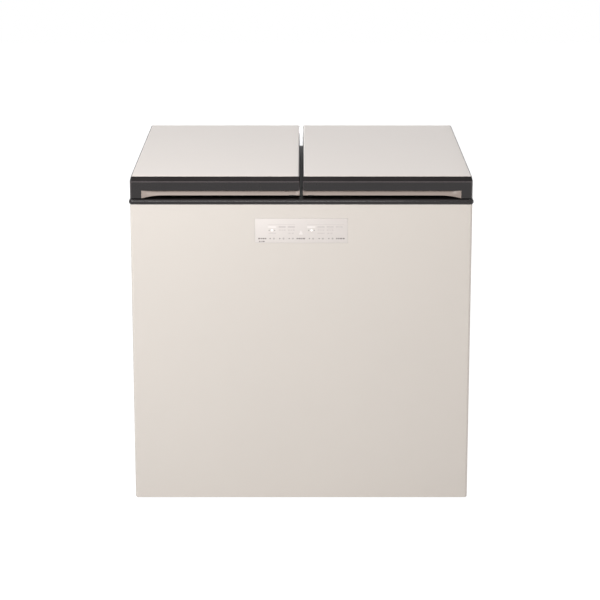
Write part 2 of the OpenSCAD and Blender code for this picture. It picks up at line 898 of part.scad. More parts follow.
module display_housing() {
    y0 = front_y + sheet_t + plate_flange;
    y1 = front_y + sheet_t + display_deep;
    half_w = display_w / 2 + display_margin;
    half_h = display_h / 2 + display_margin;
    color("#e9e9e6")
    difference() {
        block([-half_w, y0, display_z - half_h], [half_w, y1, display_z + half_h]);
        difference() {
            block([-half_w + box_wall, y0 - eps, display_z - half_h + box_wall],
                  [half_w - box_wall, y1 - box_wall, display_z + half_h - box_wall]);
            for (x = sides, z = sides)
                rod_y(y1 - box_wall - post_h, y1, x * (half_w - 20), display_z + z * (half_h - 14),
                      3);
        }
        rod_y(y1 - box_wall - eps, y1 + eps, 0, display_z, conduit_r - 1);
    }
}

module display_board() {
    y1 = front_y + sheet_t + display_deep - box_wall - post_h;
    half_w = display_w / 2 + display_margin - box_wall - 4;
    half_h = display_h / 2 + display_margin - box_wall - 2;
    module_w = 40;
    module_h = 24;
    module_pitch = 80;
    color("#2f6b46")
    union() {
        block([-half_w, y1 - board_t, display_z - half_h], [half_w, y1, display_z + half_h]);
        for (x = [-1, 0, 1])
            block([x * module_pitch - module_w / 2, y1 - board_t - 3, display_z - module_h / 2],
                  [x * module_pitch + module_w / 2, y1 - board_t + 0.5,
                   display_z + module_h / 2]);
    }
}

// Tube for the wires from the main board to the display
module wire_conduit() {
    color("#c9c9c4")
    difference() {
        rod_y(front_y + sheet_t + display_deep, back_y - sheet_t - box_deep, 0, display_z,
              conduit_r);
        rod_y(front_y, back_y, 0, display_z, conduit_r - 1);
    }
}

module board_case() {
    y0 = back_y - sheet_t - box_deep;
    color("#e4e4e0")
    difference() {
        block([-box_w / 2, y0, box_z - box_h / 2], [box_w / 2, back_y, box_z + box_h / 2]);
        difference() {
            block([-box_w / 2 + box_wall, y0 + box_wall, box_z - box_h / 2 + box_wall],
                  [box_w / 2 - box_wall, back_y + eps, box_z + box_h / 2 - box_wall]);
            for (x = sides, z = sides)
                rod_y(y0, y0 + box_wall + post_h, x * (box_w / 2 - 16),
                      box_z + z * (box_h / 2 - 16), 4);
        }
        rod_y(y0 - eps, y0 + box_wall + eps, 0, display_z, conduit_r - 1);
    }
}

// A part on the main board: its middle, width, height and how far it stands out
module board_part(x, z, w, h, out) {
    y0 = back_y - sheet_t - box_deep + box_wall + post_h;
    block([x - w / 2, y0, box_z + z - h / 2], [x + w / 2, y0 + out, box_z + z + h / 2]);
}

module main_board() {
    y0 = back_y - sheet_t - box_deep + box_wall + post_h;
    transformer = 44;
    capacitor_r = 7;
    capacitor_pitch = 16;
    plug_pitch = 28;
    color("#2f6b46")
    union() {
        board_part(0, 0, box_w - 12, box_h - 12, board_t);
        board_part(-28, -38, transformer, transformer, 26);
        board_part(38, -55, 36, 30, 12);
        for (i = [-1, 0, 1])
            rod_y(y0, y0 + 22, 40 + i * capacitor_pitch, box_z + 10, capacitor_r);
        for (i = [-1.5 : 1 : 1.5])
            board_part(i * plug_pitch - 9, box_h / 2 - 31, 18, 14, 9);
    }
}

// Cover of the control box, screwed to the back sheet
module board_cover() {
    color("#b9bcbd")
    difference() {
        block([-box_w / 2 - cover_lap, back_y, box_z - box_h / 2 - cover_lap],
              [box_w / 2 + cover_lap, back_y + cover_t, box_z + box_h / 2 + cover_lap]);
        rear_screw_holes(screw_r + fit);
    }
}

// Block round the mains inlet's middle, from y0 to y1
module inlet_block(half_w, half_h, y0, y1) {
    block([inlet_x - half_w, y0, inlet_z - half_h], [inlet_x + half_w, y1, inlet_z + half_h]);
}

// Opening for the mains inlet
module inlet_cut(grow) {
    inlet_block(inlet_half_w + grow, inlet_half_h + grow, back_y - 2 * sheet_t, back_y + eps);
}

// Mains inlet with three flat blades, in a flange on the cover
module power_inlet() {
    deep = 22;
    lip = 2;
    blade_pitch = 7;
    color("#1b1b1c")
    union() {
        difference() {
            union() {
                inlet_block(inlet_half_w, inlet_half_h, back_y - deep, back_y + 1);
                inlet_block(inlet_half_w + 8, inlet_half_h + 4, back_y, back_y + lip);
            }
            inlet_block(inlet_half_w - 2, inlet_half_h - 2, back_y - deep + 4, back_y + 2 * lip);
        }
        for (i = [-1, 0, 1])
            let (z = inlet_z + (i == 0 ? 3 : -1))
                block([inlet_x + i * blade_pitch - 1, back_y - deep + 3, z - 2],
                      [inlet_x + i * blade_pitch + 1, back_y - 3, z + 2]);
    }
}

// ---- hinges ----

function hinge_x(s, h) = s * (lid_gap + lid_w) / 2 + h * hinge_span / 2;

// Places of one lid's hinges
module lid_hinges(s) {
    for (h = sides) translate([hinge_x(s, h), 0, 0]) children();
}

// Places of all hinges
module all_hinges() {
    for (s = sides) lid_hinges(s) children();
}

// Screws of one bracket, in its own place
module bracket_screw_sites() {
    for (x = sides, z = [12, 36])
        translate([x * (ears_w / 2 + ear_t + tab_plate / 2), back_y, z_rim - z]) children();
}

// Screws of the board cover and the machine cover
module cover_screw_sites() {
    for (x = sides, z = sides)
        translate([x * (box_w / 2 + cover_lap / 2), back_y, box_z + z * (box_h / 2 + cover_lap / 2)])
            children();
}

module machine_screw_sites() {
    for (x = [-1, -1 / 3, 1 / 3, 1])
        translate([x * (body_w / 2 - flange_w - 12), back_y, z_room - 8]) children();
}

module rear_screw_holes(r) {
    all_hinges() bracket_screw_sites() screw_shank(r, 0);
    cover_screw_sites() screw_shank(r, 0);
    machine_screw_sites() screw_shank(r, 0);
}

// Shank that points into the cabinet, with `out` of its length behind the back sheet
module screw_shank(r, out) {
    translate([0, out + (out > 0 ? 0 : ear_t + eps), 0]) rotate([90, 0, 0])
        cylinder(h = screw_len + out + (out > 0 ? 0 : ear_t + eps), r = r, $fn = 24);
}

module screw_head(out) {
    translate([0, out + 2.5, 0]) rotate([90, 0, 0]) cylinder(h = 2.5, r = screw_head_r, $fn = 32);
}

module rear_screws() {
    color("#9da1a3") {
        all_hinges() bracket_screw_sites() {
            screw_shank(screw_r, ear_t);
            screw_head(ear_t);
        }
        cover_screw_sites() {
            screw_shank(screw_r, cover_t);
            screw_head(cover_t);
        }
        machine_screw_sites() {
            screw_shank(screw_r, 0.01);
            screw_head(0);
        }
    }
}

// Steel bracket with two ears, screwed to the back
module hinge_bracket() {
    difference() {
        union() {
            block([-bracket_w / 2, back_y, bracket_z0], [bracket_w / 2, back_y + ear_t, bracket_z1]);
            for (s = sides)
                along_x(s > 0 ? ears_w / 2 : -ears_w / 2 - ear_t,
                        s > 0 ? ears_w / 2 + ear_t : -ears_w / 2) {
                    translate([pivot_y, pivot_z]) circle(knuckle_r);
                    polygon([[back_y + eps, bracket_z0 + 4], [pivot_y + knuckle_r, pivot_z - 16],
                             [pivot_y + knuckle_r, pivot_z], [pivot_y - knuckle_r, pivot_z],
                             [pivot_y - knuckle_r, bracket_z1], [back_y + eps, bracket_z1]]);
                }
        }
        rod_x(-bracket_w, bracket_w, pivot_y, pivot_z, hinge_pin_r + fit);
        bracket_screw_sites() screw_shank(screw_r + fit, 0);
    }
}

module hinge_brackets() {
    color("#8f9395") all_hinges() hinge_bracket();
}

// Closed cartridge that holds the lid's spring, between an ear and the eye
module spring_cartridges() {
    color("#2a2c2e")
    all_hinges() difference() {
        rod_x(-ears_w / 2, -ears_w / 2 + barrel_w, pivot_y, pivot_z, knuckle_r - 0.5);
        rod_x(-ears_w, ears_w, pivot_y, pivot_z, hinge_pin_r + fit);
    }
}

// Arms on the lid's back, each with an eye round its pin
module lid_hinge_arms(s) {
    x1 = ears_w / 2 - side_gap;
    color("#8f9395")
    lid_hinges(s) difference() {
        union() {
            block([-leaf_w / 2, back_y, z_lid + 3], [leaf_w / 2, back_y + arm_t, z_bevel - 4]);
            block([x1 - eye_w, back_y + eps, pivot_z - 5], [x1, pivot_y, pivot_z + 5]);
            rod_x(x1 - eye_w, x1, pivot_y, pivot_z, knuckle_r - 0.5);
        }
        rod_x(-ears_w, ears_w, pivot_y, pivot_z, hinge_pin_r + fit);
    }
}

module lid_hinge_pins(s) {
    x = ears_w / 2 + ear_t + side_gap;
    color("#c4c7c9")
    lid_hinges(s) {
        rod_x(-x, x, pivot_y, pivot_z, hinge_pin_r);
        for (e = sides)
            rod_x(e > 0 ? x : -x - 2, e > 0 ? x + 2 : -x, pivot_y, pivot_z, hinge_pin_r + 2);
    }
}

// ---- lids ----

// Outline of a lid, drawn in by `inset`; its corners are sharper beside the gap
module lid_outline(s, inset) {
    w = lid_w - 2 * inset;
    d = body_d - 2 * inset;
    translate([s * (lid_gap + lid_w) / 2, mid_y]) union() {
        rounded(w, d, max(edge_r - inset, 1));
        translate([-s * w / 4, 0]) rounded(w / 2, d, max(gap_r - inset, 1));
    }
}

// Middle of a top panel, which comes closer to the lid's edge beside the gap
function panel_x(s) = s * (lid_gap + lid_w + gap_bevel_in - bevel_in) / 2;

module panel_plan(s) {
    translate([panel_x(s), mid_y]) rounded(panel_w, panel_d, max(edge_r - bevel_in - lip_t, 1));
}

// Outline seen from one side: upright, then leaning in along the bevel on both sides
module bevel_outline(w, in_low, in_high) {
    polygon([[-w / 2, z_lid], [w / 2, z_lid], [w / 2, z_bevel], [w / 2 - in_high, z_lip],
             [-w / 2 + in_low, z_lip], [-w / 2, z_bevel]]);
}

// Outline of the top panel's edge: upright below, round above
module panel_outline(w) {
    r = panel_t - 1;
    translate([-w / 2, z_panel]) square([w, panel_t - r]);
    translate([-w / 2 + r, z_panel]) square([w - 2 * r, panel_t]);
    for (x = sides) translate([x * (w / 2 - r), z_top - r]) circle(r);
}

// Front corner under the grip, from below the lid up to z1
module grip_zone(s, y1, z1) {
    block([s > 0 ? -lid_gap : -leg_x, front_y - eps, z_lid - plug_h],
          [s > 0 ? leg_x : lid_gap, y1, z1]);
}

module lid_frame(s) {
    color("#413c3d")
    difference() {
        intersection() {
            translate([0, 0, z_lid]) linear_extrude(z_lip - z_lid) lid_outline(s, 0);
            along_y(front_y - eps, back_y + eps)
                translate([s * (lid_gap + lid_w) / 2, 0])
                    bevel_outline(lid_w, s > 0 ? gap_bevel_in : bevel_in,
                                  s > 0 ? bevel_in : gap_bevel_in);
            along_x(-body_w, body_w) translate([mid_y, 0])
                bevel_outline(body_d, bevel_in, bevel_in);
        }
        translate([0, 0, z_panel]) linear_extrude(panel_t) panel_plan(s);
        translate([0, 0, z_lid - eps]) linear_extrude(lid_side_h - liner_t + eps)
            lid_outline(s, lid_wall);
        translate([0, 0, z_lid]) linear_extrude(z_top - z_lid) lid_outline(s, ledge_w);
        grip_zone(s, front_y + grip_d, z_grip);
        intersection() {
            grip_zone(s, front_y + grip_d, z_pocket + grip_wall);
            block([-body_w, front_y + lid_wall, 0], [body_w, back_y, z_top]);
        }
    }
}

module lid_panel(s) {
    color("#dcd4cc")
    intersection() {
        translate([0, 0, z_panel]) linear_extrude(panel_t) panel_plan(s);
        along_y(front_y, back_y) translate([panel_x(s), 0]) panel_outline(panel_w);
        along_x(-body_w, body_w) translate([mid_y, 0]) panel_outline(panel_d);
    }
}

// Pale finger grip: a strip that leans back, a ceiling, a back wall and two ends
module lid_grip(s) {
    x0 = lid_gap / 2;
    set_back = lid_wall + soft_gap;
    lip_back = strip_lean + grip_wall;
    rise_r = (strip_rise_w * strip_rise_w + pow(z_strip - z_lid, 2)) / (2 * (z_strip - z_lid));
    color("#beb1ab")
    scale([s, 1, 1]) union() {
        intersection() {
            along_x(x0, leg_x)
                polygon([[front_y, z_lid], [front_y, z_strip + strip_foot],
                         [front_y + strip_lean, z_grip], [front_y + set_back, z_grip],
                         [front_y + set_back, z_pocket], [front_y + lip_back, z_pocket],
                         [front_y + lip_back, z_grip], [front_y + grip_wall, z_strip],
                         [front_y + grip_wall, z_lid]]);
            along_y(front_y - eps, front_y + grip_d) difference() {
                translate([x0, z_lid]) square([leg_x - x0, z_pocket - z_lid]);
                translate([x0 - eps, z_lid - eps])
                    square([leg_x - strip_rise_w - x0 + eps, z_strip - z_lid + eps]);
                translate([leg_x - strip_rise_w, z_strip - rise_r]) circle(rise_r, $fn = 360);
            }
        }
        block([x0, front_y + set_back, z_pocket],
              [leg_x, front_y + grip_d, z_pocket + grip_wall]);
        block([x0, front_y + grip_d - grip_wall, liner_z],
              [leg_x, front_y + grip_d, z_pocket + grip_wall]);
        for (x = [x0, leg_x - grip_wall])
            along_x(x, x + grip_wall)
                polygon([[front_y + grip_wall / 2, z_strip],
                         [front_y + lip_back - grip_wall / 2, z_grip],
                         [front_y + lip_back - grip_wall / 2, z_pocket + grip_wall],
                         [front_y + grip_d, z_pocket + grip_wall],
                         [front_y + grip_d, z_strip]]);
        block([tab_x - tab_w / 2, front_y, z_strip - tab_h],
              [tab_x + tab_w / 2, front_y + grip_wall, z_strip + 1]);
    }
}

// Outline of the plug that reaches into a tank's mouth
module plug_outline(s, inset) {
    gap = plug_gap + inset;
    translate([tank_x(s), tank_y + tank_d / 2])
        rounded(tank_w - 2 * gap, tank_d - 2 * gap, tank_r - gap / 2);
}

// White plate under the lid with a hollow plug
module lid_liner(s) {
    color("#eeeeec")
    difference() {
        union() {
            difference() {
                translate([0, 0, liner_z]) linear_extrude(liner_t) lid_outline(s, lid_wall);
                grip_zone(s, front_y + grip_d, z_top);
                block([-body_w, front_y, 0], [body_w, front_y + lid_wall + 1, z_top]);
            }
            translate([0, 0, liner_z - plug_h]) linear_extrude(plug_h + liner_t) plug_outline(s, 0);
        }
        translate([0, 0, liner_z - plug_h + liner_t]) linear_extrude(plug_h + liner_t)
            plug_outline(s, liner_t);
    }
}

module lid_foam(s) {
    color("#e8dfb4")
    union() {
        difference() {
            union() {
                translate([0, 0, liner_z + liner_t])
                    linear_extrude(z_bevel - liner_t - liner_z - liner_t)
                        lid_outline(s, lid_wall);
                translate([0, 0, z_bevel - 2 * liner_t]) linear_extrude(z_panel - z_bevel + 2 * liner_t)
                    lid_outline(s, ledge_w);
            }
            grip_zone(s, front_y + grip_d, z_pocket + grip_wall);
        }
        translate([0, 0, liner_z - plug_h + liner_t]) linear_extrude(plug_h + liner_t)
            plug_outline(s, liner_t);
    }
}

// Soft seal that lies on the rim around the tank's mouth
module lid_gasket(s) {
    out = gasket_off + gasket_w;
    color("#6e6a6a")
    translate([tank_x(s), tank_y + tank_d / 2, z_rim_top + gasket_air])
        linear_extrude(liner_z - z_rim_top - gasket_air) difference() {
            rounded(tank_w + 2 * out, tank_d + 2 * out, tank_r);
            rounded(tank_w + 2 * gasket_off, tank_d + 2 * gasket_off, tank_r - gasket_w);
        }
}

// ---- feet and casters ----

// Room for a foot's socket and stem in the foam
module foot_pocket(s) {
    translate([s * foot_x, foot_y, z_pan]) linear_extrude(socket_h) square(socket_w, center = true);
    translate([s * foot_x, foot_y, z_pan]) cylinder(h = socket_h + foot_travel + 8, r = stem_r + 2);
}

// Threaded blocks in the base pan that take the front feet
module foot_sockets() {
    color("#8d9092")
    for (s = sides)
        translate([s * foot_x, foot_y, z_pan]) difference() {
            linear_extrude(socket_h) square(socket_w, center = true);
            translate([0, 0, -eps]) cylinder(h = socket_h + 2 * eps, r = stem_r + fit);
        }
}

module foot_pad(s) {
    color("#222223")
    translate([s * foot_x, foot_y, 0]) difference() {
        union() {
            cylinder(h = pad_h - 2, r = pad_r);
            cylinder(h = pad_h, r = pad_r - 6);
        }
        translate([0, 0, 1.5]) cylinder(h = pad_h, r = stem_r - 1 + fit);
    }
}

module foot_stem(s) {
    color("#c4c7c9")
    translate([s * foot_x, foot_y, 0]) {
        translate([0, 0, 1.5]) cylinder(h = hex_z, r = stem_r - 1);
        translate([0, 0, hex_z]) cylinder(h = pan_lift - hex_z - 0.5, r = stem_r + 4, $fn = 6);
        translate([0, 0, hex_z]) cylinder(h = z_pan + socket_h + 4 - hex_z, r = stem_r);
    }
}

// Boxes in the base pan that hold the rear wheels
module caster_housings() {
    color("#8d9092")
    for (s = sides)
        difference() {
            translate([s * wheel_x, wheel_y, 0]) difference() {
                union() {
                    translate([0, 0, pan_lift]) linear_extrude(housing_top - pan_lift)
                        square([housing_w, housing_d], center = true);
                    translate([0, 0, z_pan]) linear_extrude(housing_wall)
                        square([housing_w + 24, housing_d], center = true);
                }
                linear_extrude(housing_top - housing_wall)
                    square([housing_w - 2 * housing_wall, housing_d - 2 * housing_wall],
                           center = true);
            }
            rod_x(s * wheel_x - housing_w, s * wheel_x + housing_w, wheel_y, wheel_r, axle_r);
        }
}

module caster_axles() {
    color("#c4c7c9")
    for (s = sides)
        rod_x(s * wheel_x - housing_w / 2, s * wheel_x + housing_w / 2, wheel_y, wheel_r, axle_r);
}

module wheel(s) {
    color("#2b2b2c")
    difference() {
        rod_x(s * wheel_x - wheel_w / 2, s * wheel_x + wheel_w / 2, wheel_y, wheel_r, wheel_r);
        rod_x(s * wheel_x - wheel_w, s * wheel_x + wheel_w, wheel_y, wheel_r, axle_r + fit);
        for (e = sides)
            translate([s * wheel_x + e * wheel_w / 2, wheel_y, wheel_r]) rotate([0, 90, 0])
                difference() {
                    cylinder(h = 5, r = wheel_r - 4, center = true);
                    cylinder(h = 6, r = axle_r + 3, center = true);
                }
    }
}

front_panel();
side_panel(-1);  // side_panel_left
side_panel(1);  // side_panel_right
back_panel();
base_pan();
machine_partition();
machine_cover();
insulation();
tank(-1);  // tank_left
tank(1);  // tank_right
top_rim();
rim_bumpers();
evaporators();
compressor();
compressor_mounts();
terminal_cover();
condenser();
fan_shroud();
fan_motor();
filter_drier();
refrigerant_pipes();
board_case();
main_board();
board_cover();
display_plate();
display_housing();
display_board();
wire_conduit();
power_inlet();
hinge_brackets();
spring_cartridges();
rear_screws();
foot_sockets();
caster_housings();
caster_axles();
fan_blades();
fan_shaft();
foot_pad(-1);  // foot_left_pad
foot_stem(-1);  // foot_left_stem
foot_pad(1);  // foot_right_pad
foot_stem(1);  // foot_right_stem
wheel(-1);  // wheel_left
wheel(1);  // wheel_right
lid_frame(-1);  // lid_left_frame
lid_panel(-1);  // lid_left_panel
lid_grip(-1);  // lid_left_grip
lid_liner(-1);  // lid_left_liner
lid_foam(-1);  // lid_left_foam
lid_gasket(-1);  // lid_left_gasket
lid_hinge_arms(-1);  // lid_left_hinge_arms
lid_hinge_pins(-1);  // lid_left_hinge_pins
lid_frame(1);  // lid_right_frame
lid_panel(1);  // lid_right_panel
lid_grip(1);  // lid_right_grip
lid_liner(1);  // lid_right_liner
lid_foam(1);  // lid_right_foam
lid_gasket(1);  // lid_right_gasket
lid_hinge_arms(1);  // lid_right_hinge_arms
lid_hinge_pins(1);  // lid_right_hinge_pins
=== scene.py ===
# Chest-type kimchi refrigerator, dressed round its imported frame. Lengths are in metres.
import math

import bmesh
import bpy
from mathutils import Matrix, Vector


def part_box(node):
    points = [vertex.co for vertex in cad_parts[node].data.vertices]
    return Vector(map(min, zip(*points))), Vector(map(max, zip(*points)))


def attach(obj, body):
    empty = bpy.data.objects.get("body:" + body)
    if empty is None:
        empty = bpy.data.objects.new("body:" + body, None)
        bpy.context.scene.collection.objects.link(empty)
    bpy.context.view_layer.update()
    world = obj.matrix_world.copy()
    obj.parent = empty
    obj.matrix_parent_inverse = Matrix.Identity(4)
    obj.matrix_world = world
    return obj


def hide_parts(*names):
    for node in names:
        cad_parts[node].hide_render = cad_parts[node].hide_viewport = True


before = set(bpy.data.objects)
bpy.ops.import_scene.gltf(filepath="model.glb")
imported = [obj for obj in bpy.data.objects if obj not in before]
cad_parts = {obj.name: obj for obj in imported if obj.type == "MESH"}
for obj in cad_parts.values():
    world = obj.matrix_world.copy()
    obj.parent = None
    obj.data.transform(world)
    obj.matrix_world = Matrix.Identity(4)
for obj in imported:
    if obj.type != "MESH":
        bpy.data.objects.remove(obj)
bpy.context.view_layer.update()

MM = 0.001

# ---- Front sheet ----
# One steel sheet, folded round the two front corners and painted warm off-white. It has a
# window for the control panel, and its two lower corners are cut round.

front_low, front_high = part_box("front_panel")
half_w = front_high[0]
front_y = front_low[1]
sheet_foot = front_low[2]
rim_z = front_high[2]
back_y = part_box("side_panel_right")[1][1]
edge_r = 7 * MM
foot_corner_r = 5 * MM
sheet_t = 1 * MM
plate_flange = 8 * MM
window_play = 0.3 * MM
plate_low, plate_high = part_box("display_plate")
window_x = plate_high[0] - plate_flange
window_low_z = plate_low[2] + plate_flange
window_high_z = plate_high[2] - plate_flange


def arc(cx, cy, r, start, end, steps=10):
    """Points of an arc, from one angle to another"""
    turns = [math.radians(start + (end - start) * i / steps) for i in range(steps + 1)]
    return [(cx + r * math.cos(a), cy + r * math.sin(a)) for a in turns]


def spread(start, end, count):
    """Evenly spaced numbers, both ends included"""
    return [start + (end - start) * i / (count - 1) for i in range(count)]


def join(parts):
    """One list of points and one of faces, from several"""
    points, faces = [], []
    for more_points, more_faces in parts:
        shift = len(points)
        points += more_points
        faces += [[i + shift for i in face] for face in more_faces]
    return points, faces


def loft(rings, tube=False, caps=True):
    """Skin over rings of points; a tube's last ring meets its first"""
    count = len(rings[0])
    points = [tuple(p) for ring in rings for p in ring]
    faces = []
    for k in range(len(rings) if tube else len(rings) - 1):
        here, there = k * count, (k + 1) % len(rings) * count
        for i in range(count):
            j = (i + 1) % count
            faces.append([here + i, here + j, there + j, there + i])
    if caps and not tube:
        faces.append(list(range(count))[::-1])
        faces.append([(len(rings) - 1) * count + i for i in range(count)])
    return points, faces


def build(name, shape, *materials, outward=True):
    """Object from points and faces"""
    mesh = bpy.data.meshes.new(name)
    mesh.from_pydata(shape[0], [], shape[1])
    work = bmesh.new()
    work.from_mesh(mesh)
    bmesh.ops.remove_doubles(work, verts=work.verts, dist=0.002 * MM)
    bmesh.ops.dissolve_degenerate(work, edges=work.edges, dist=0.001 * MM)
    if outward:
        bmesh.ops.recalc_face_normals(work, faces=work.faces)
    work.to_mesh(mesh)
    work.free()
    mesh.shade_smooth()
    for material in materials:
        mesh.materials.append(material)
    piece = bpy.data.objects.new(name, mesh)
    bpy.context.scene.collection.objects.link(piece)
    return piece


def modify(piece, name, kind, **settings):
    """Adds a modifier to a piece"""
    modifier = piece.modifiers.new(name, kind)
    for label, value in settings.items():
        setattr(modifier, label, value)


def thicken(piece, thickness, even=True):
    """Gives an open skin its wall, behind the face that shows"""
    modify(piece, "wall", "SOLIDIFY", thickness=thickness, offset=-1, use_even_offset=even)


def soften(piece, width, segments=2, angle=35, rounded_in=-1):
    """Rounds the sharp edges a little, as on any pressed or moulded part"""
    modify(piece, "weld", "WELD", merge_threshold=0.01 * MM)
    modify(piece, "rounding", "BEVEL", width=width, segments=segments, limit_method="ANGLE",
           angle_limit=math.radians(angle), material=rounded_in)
    modify(piece, "even_shading", "WEIGHTED_NORMAL", weight=100, keep_sharp=True)
    piece.data.shade_smooth()


def place(piece, body, slot, *nodes):
    """Rides on a body and stands for CAD nodes; its slot is not used"""
    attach(piece, body)
    if nodes:
        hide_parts(*nodes)


def srgb(r, g, b):
    """Colour as a screen shows it, 0 to 255, turned into light"""
    parts = [v / 255 for v in (r, g, b)]
    return [v / 12.92 if v <= 0.04045 else ((v + 0.055) / 1.055) ** 2.4 for v in parts] + [1.0]


def darker(colour, share):
    """A screen colour turned into a share of its light"""
    return [c * share for c in srgb(*colour)[:3]] + [1.0]


def feed(tree, node, inputs):
    """Sets a node's inputs, each to a number, a colour or another node's output"""
    for label, source in inputs.items():
        if isinstance(source, bpy.types.NodeSocket):
            tree.links.new(source, node.inputs[label])
        else:
            node.inputs[label].default_value = source


def add(tree, kind, inputs=None, **settings):
    """New shader node, with its settings and inputs"""
    node = tree.nodes.new("ShaderNode" + kind)
    for label, value in settings.items():
        setattr(node, label, value)
    feed(tree, node, inputs or {})
    return node


def noise(tree, scale, detail, stretch=(1, 1, 1)):
    """Noise in the object's own coordinates"""
    at = add(tree, "TexCoord").outputs["Object"]
    stretched = add(tree, "Mapping", {"Vector": at, "Scale": stretch}).outputs["Vector"]
    return add(tree, "TexNoise",
               {"Vector": stretched, "Scale": scale, "Detail": detail}).outputs["Fac"]


def remap(tree, value, low, high, to_low, to_high):
    """Value stretched from one range to another"""
    return add(tree, "MapRange", {"Value": value, "From Min": low, "From Max": high,
                                  "To Min": to_low, "To Max": to_high}).outputs["Result"]


def maths(tree, operation, first, second):
    return add(tree, "Math", {0: first, 1: second}, operation=operation).outputs[0]


def blend(tree, share, colour, other):
    """Colour on the way from one to another, by a mask"""
    return add(tree, "Mix", {0: share, 6: colour, 7: other}, data_type="RGBA").outputs[2]


def effect(name, output, make, **inputs):
    """Shader group with number inputs; `make` adds its nodes and returns the result"""
    tree = bpy.data.node_groups.new(name, "ShaderNodeTree")
    for label, value in inputs.items():
        socket = tree.interface.new_socket(label, in_out="INPUT", socket_type="NodeSocketFloat")
        socket.default_value = value
    tree.interface.new_socket(output, in_out="OUTPUT", socket_type="NodeSocketFloat")
    given = tree.nodes.new("NodeGroupInput").outputs
    feed(tree, tree.nodes.new("NodeGroupOutput"),
         {output: make(tree, *[given[label] for label in inputs])})
    return tree


def use(tree, group, **values):
    """A shader group placed in a material, with its own values"""
    return add(tree, "Group", values, node_tree=group).outputs[0]


def drift_nodes(tree, scale, low, high):
    """Slow change over a surface, between two values"""
    return remap(tree, noise(tree, scale, 3.0), 0.3, 0.7, low, high)


def rubbed_nodes(tree, breakup):
    """1 on the edges that hands and cloths rub, in patches"""
    edge = remap(tree, add(tree, "NewGeometry").outputs["Pointiness"], 0.51, 0.58, 0.0, 1.0)
    patches = remap(tree, noise(tree, breakup, 4.0), 0.4, 0.65, 0.2, 1.0)
    return maths(tree, "MULTIPLY", edge, patches)


def relief_group(name, detail, stretch=(1, 1, 1)):
    """Fine relief: the skin of paint, moulded grain, or brushed lines"""
    return effect(name, "Height", lambda tree, scale: noise(tree, scale, detail, stretch),
                  Scale=900)


slow_drift = effect("slow drift", "Value", drift_nodes, Scale=4, Low=0, High=1)
rubbed_edges = effect("rubbed edges", "Mask", rubbed_nodes, Breakup=60)
paint_skin = relief_group("paint skin", 1.0)
moulded_grain = relief_group("moulded grain", 6.0)


def finish(name, colour, gloss, shade=0.95, drift=4.0, spread_gloss=0.03, metal=0.0,
           relief=moulded_grain, grain=(1500, 0.01), edge=None, coat=0.0, shine=0.5):
    """Material: a colour that drifts towards a shade of itself, and uneven gloss. `grain` gives
    how fine the relief is, and how deep in millimetres."""
    material = bpy.data.materials.new(name)
    material.use_nodes = True
    tree = material.node_tree
    shown = blend(tree, use(tree, slow_drift, Scale=drift), darker(colour, shade), srgb(*colour))
    if edge:
        shown = blend(tree, use(tree, rubbed_edges), shown, srgb(*edge))
    uneven = use(tree, slow_drift, Scale=drift * 3, Low=gloss - spread_gloss,
                 High=gloss + spread_gloss)
    fineness, depth = grain
    bump = add(tree, "Bump", {"Distance": depth * MM,
                              "Height": use(tree, relief, Scale=fineness)})
    feed(tree, tree.nodes["Principled BSDF"], {
        "Base Color": shown, "Roughness": uneven, "Normal": bump.outputs["Normal"],
        "Metallic": metal, "Specular IOR Level": shine, "Coat Weight": coat,
        "Coat Roughness": 0.12})
    return material


body_paint = finish("warm white paint", (217, 209, 202), 0.42, shade=0.985, drift=2.0,
                    relief=paint_skin, grain=(420, 0.01), shine=0.35)


def net(columns, rows):
    """Faces between points that are given column by column"""
    corners = [(i * rows + k, (i + 1) * rows + k)
               for i in range(columns - 1) for k in range(rows - 1)]
    return [[a, b, b + 1, a + 1] for a, b in corners]


def fold(path, heights):
    """Sheet along a plan path; `heights` gives its heights at one x"""
    points = [(x, y, z) for (x, y) in path for z in heights(x)]
    return points, net(len(path), len(heights(path[0][0])))


def front_heights(x):
    """Heights of the front sheet at one x, with the round lower corner and the window"""
    out = abs(x) - (half_w - foot_corner_r)
    rise = foot_corner_r - math.sqrt(max(foot_corner_r ** 2 - max(out, 0) ** 2, 0))
    return [sheet_foot + rise, sheet_foot + 3 * foot_corner_r, window_low_z - window_play,
            window_high_z + window_play, rim_z]


def front_sheet():
    side_end = front_high[1]
    hole = window_x + window_play
    straight = [(x, front_y) for x in (-hole, hole)]
    path = ([(-half_w, side_end)] + arc(-half_w + edge_r, front_y + edge_r, edge_r, 180, 270)
            + straight + arc(half_w - edge_r, front_y + edge_r, edge_r, 270, 360)
            + [(half_w, side_end)])
    points, faces = fold(path, front_heights)

    def in_window(face):
        x, _, z = [sum(points[i][k] for i in face) / len(face) for k in range(3)]
        return abs(x) < hole and window_low_z < z < window_high_z

    skin = points, [face for face in faces if not in_window(face)]
    piece = build("front_sheet", skin, body_paint, outward=False)
    thicken(piece, sheet_t)
    soften(piece, 0.3 * MM)
    return piece


place(front_sheet(), "cabinet", "body_paint", "front_panel")

# ---- Side sheets ----
# Painted like the front. Each starts behind the front sheet's fold, and turns in at the back
# with a narrow flange that holds the bare back sheets.

flange_w = 18 * MM
both_sides = {"left": -1, "right": 1}


def side_sheet(side, node):
    seam_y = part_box(node)[0][1]
    corner = arc(half_w - edge_r, back_y - edge_r, edge_r, 0, 90)
    path = [(half_w, seam_y)] + corner + [(half_w - flange_w, back_y)]
    if side < 0:
        path = [(-x, y) for x, y in reversed(path)]
    skin = fold(path, lambda x: [sheet_foot, rim_z])
    piece = build(node.replace("panel", "sheet"), skin, body_paint, outward=False)
    thicken(piece, sheet_t)
    soften(piece, 0.3 * MM)
    return piece


for label, side in both_sides.items():
    node = f"side_panel_{label}"
    place(side_sheet(side, node), "cabinet", "body_paint", node)

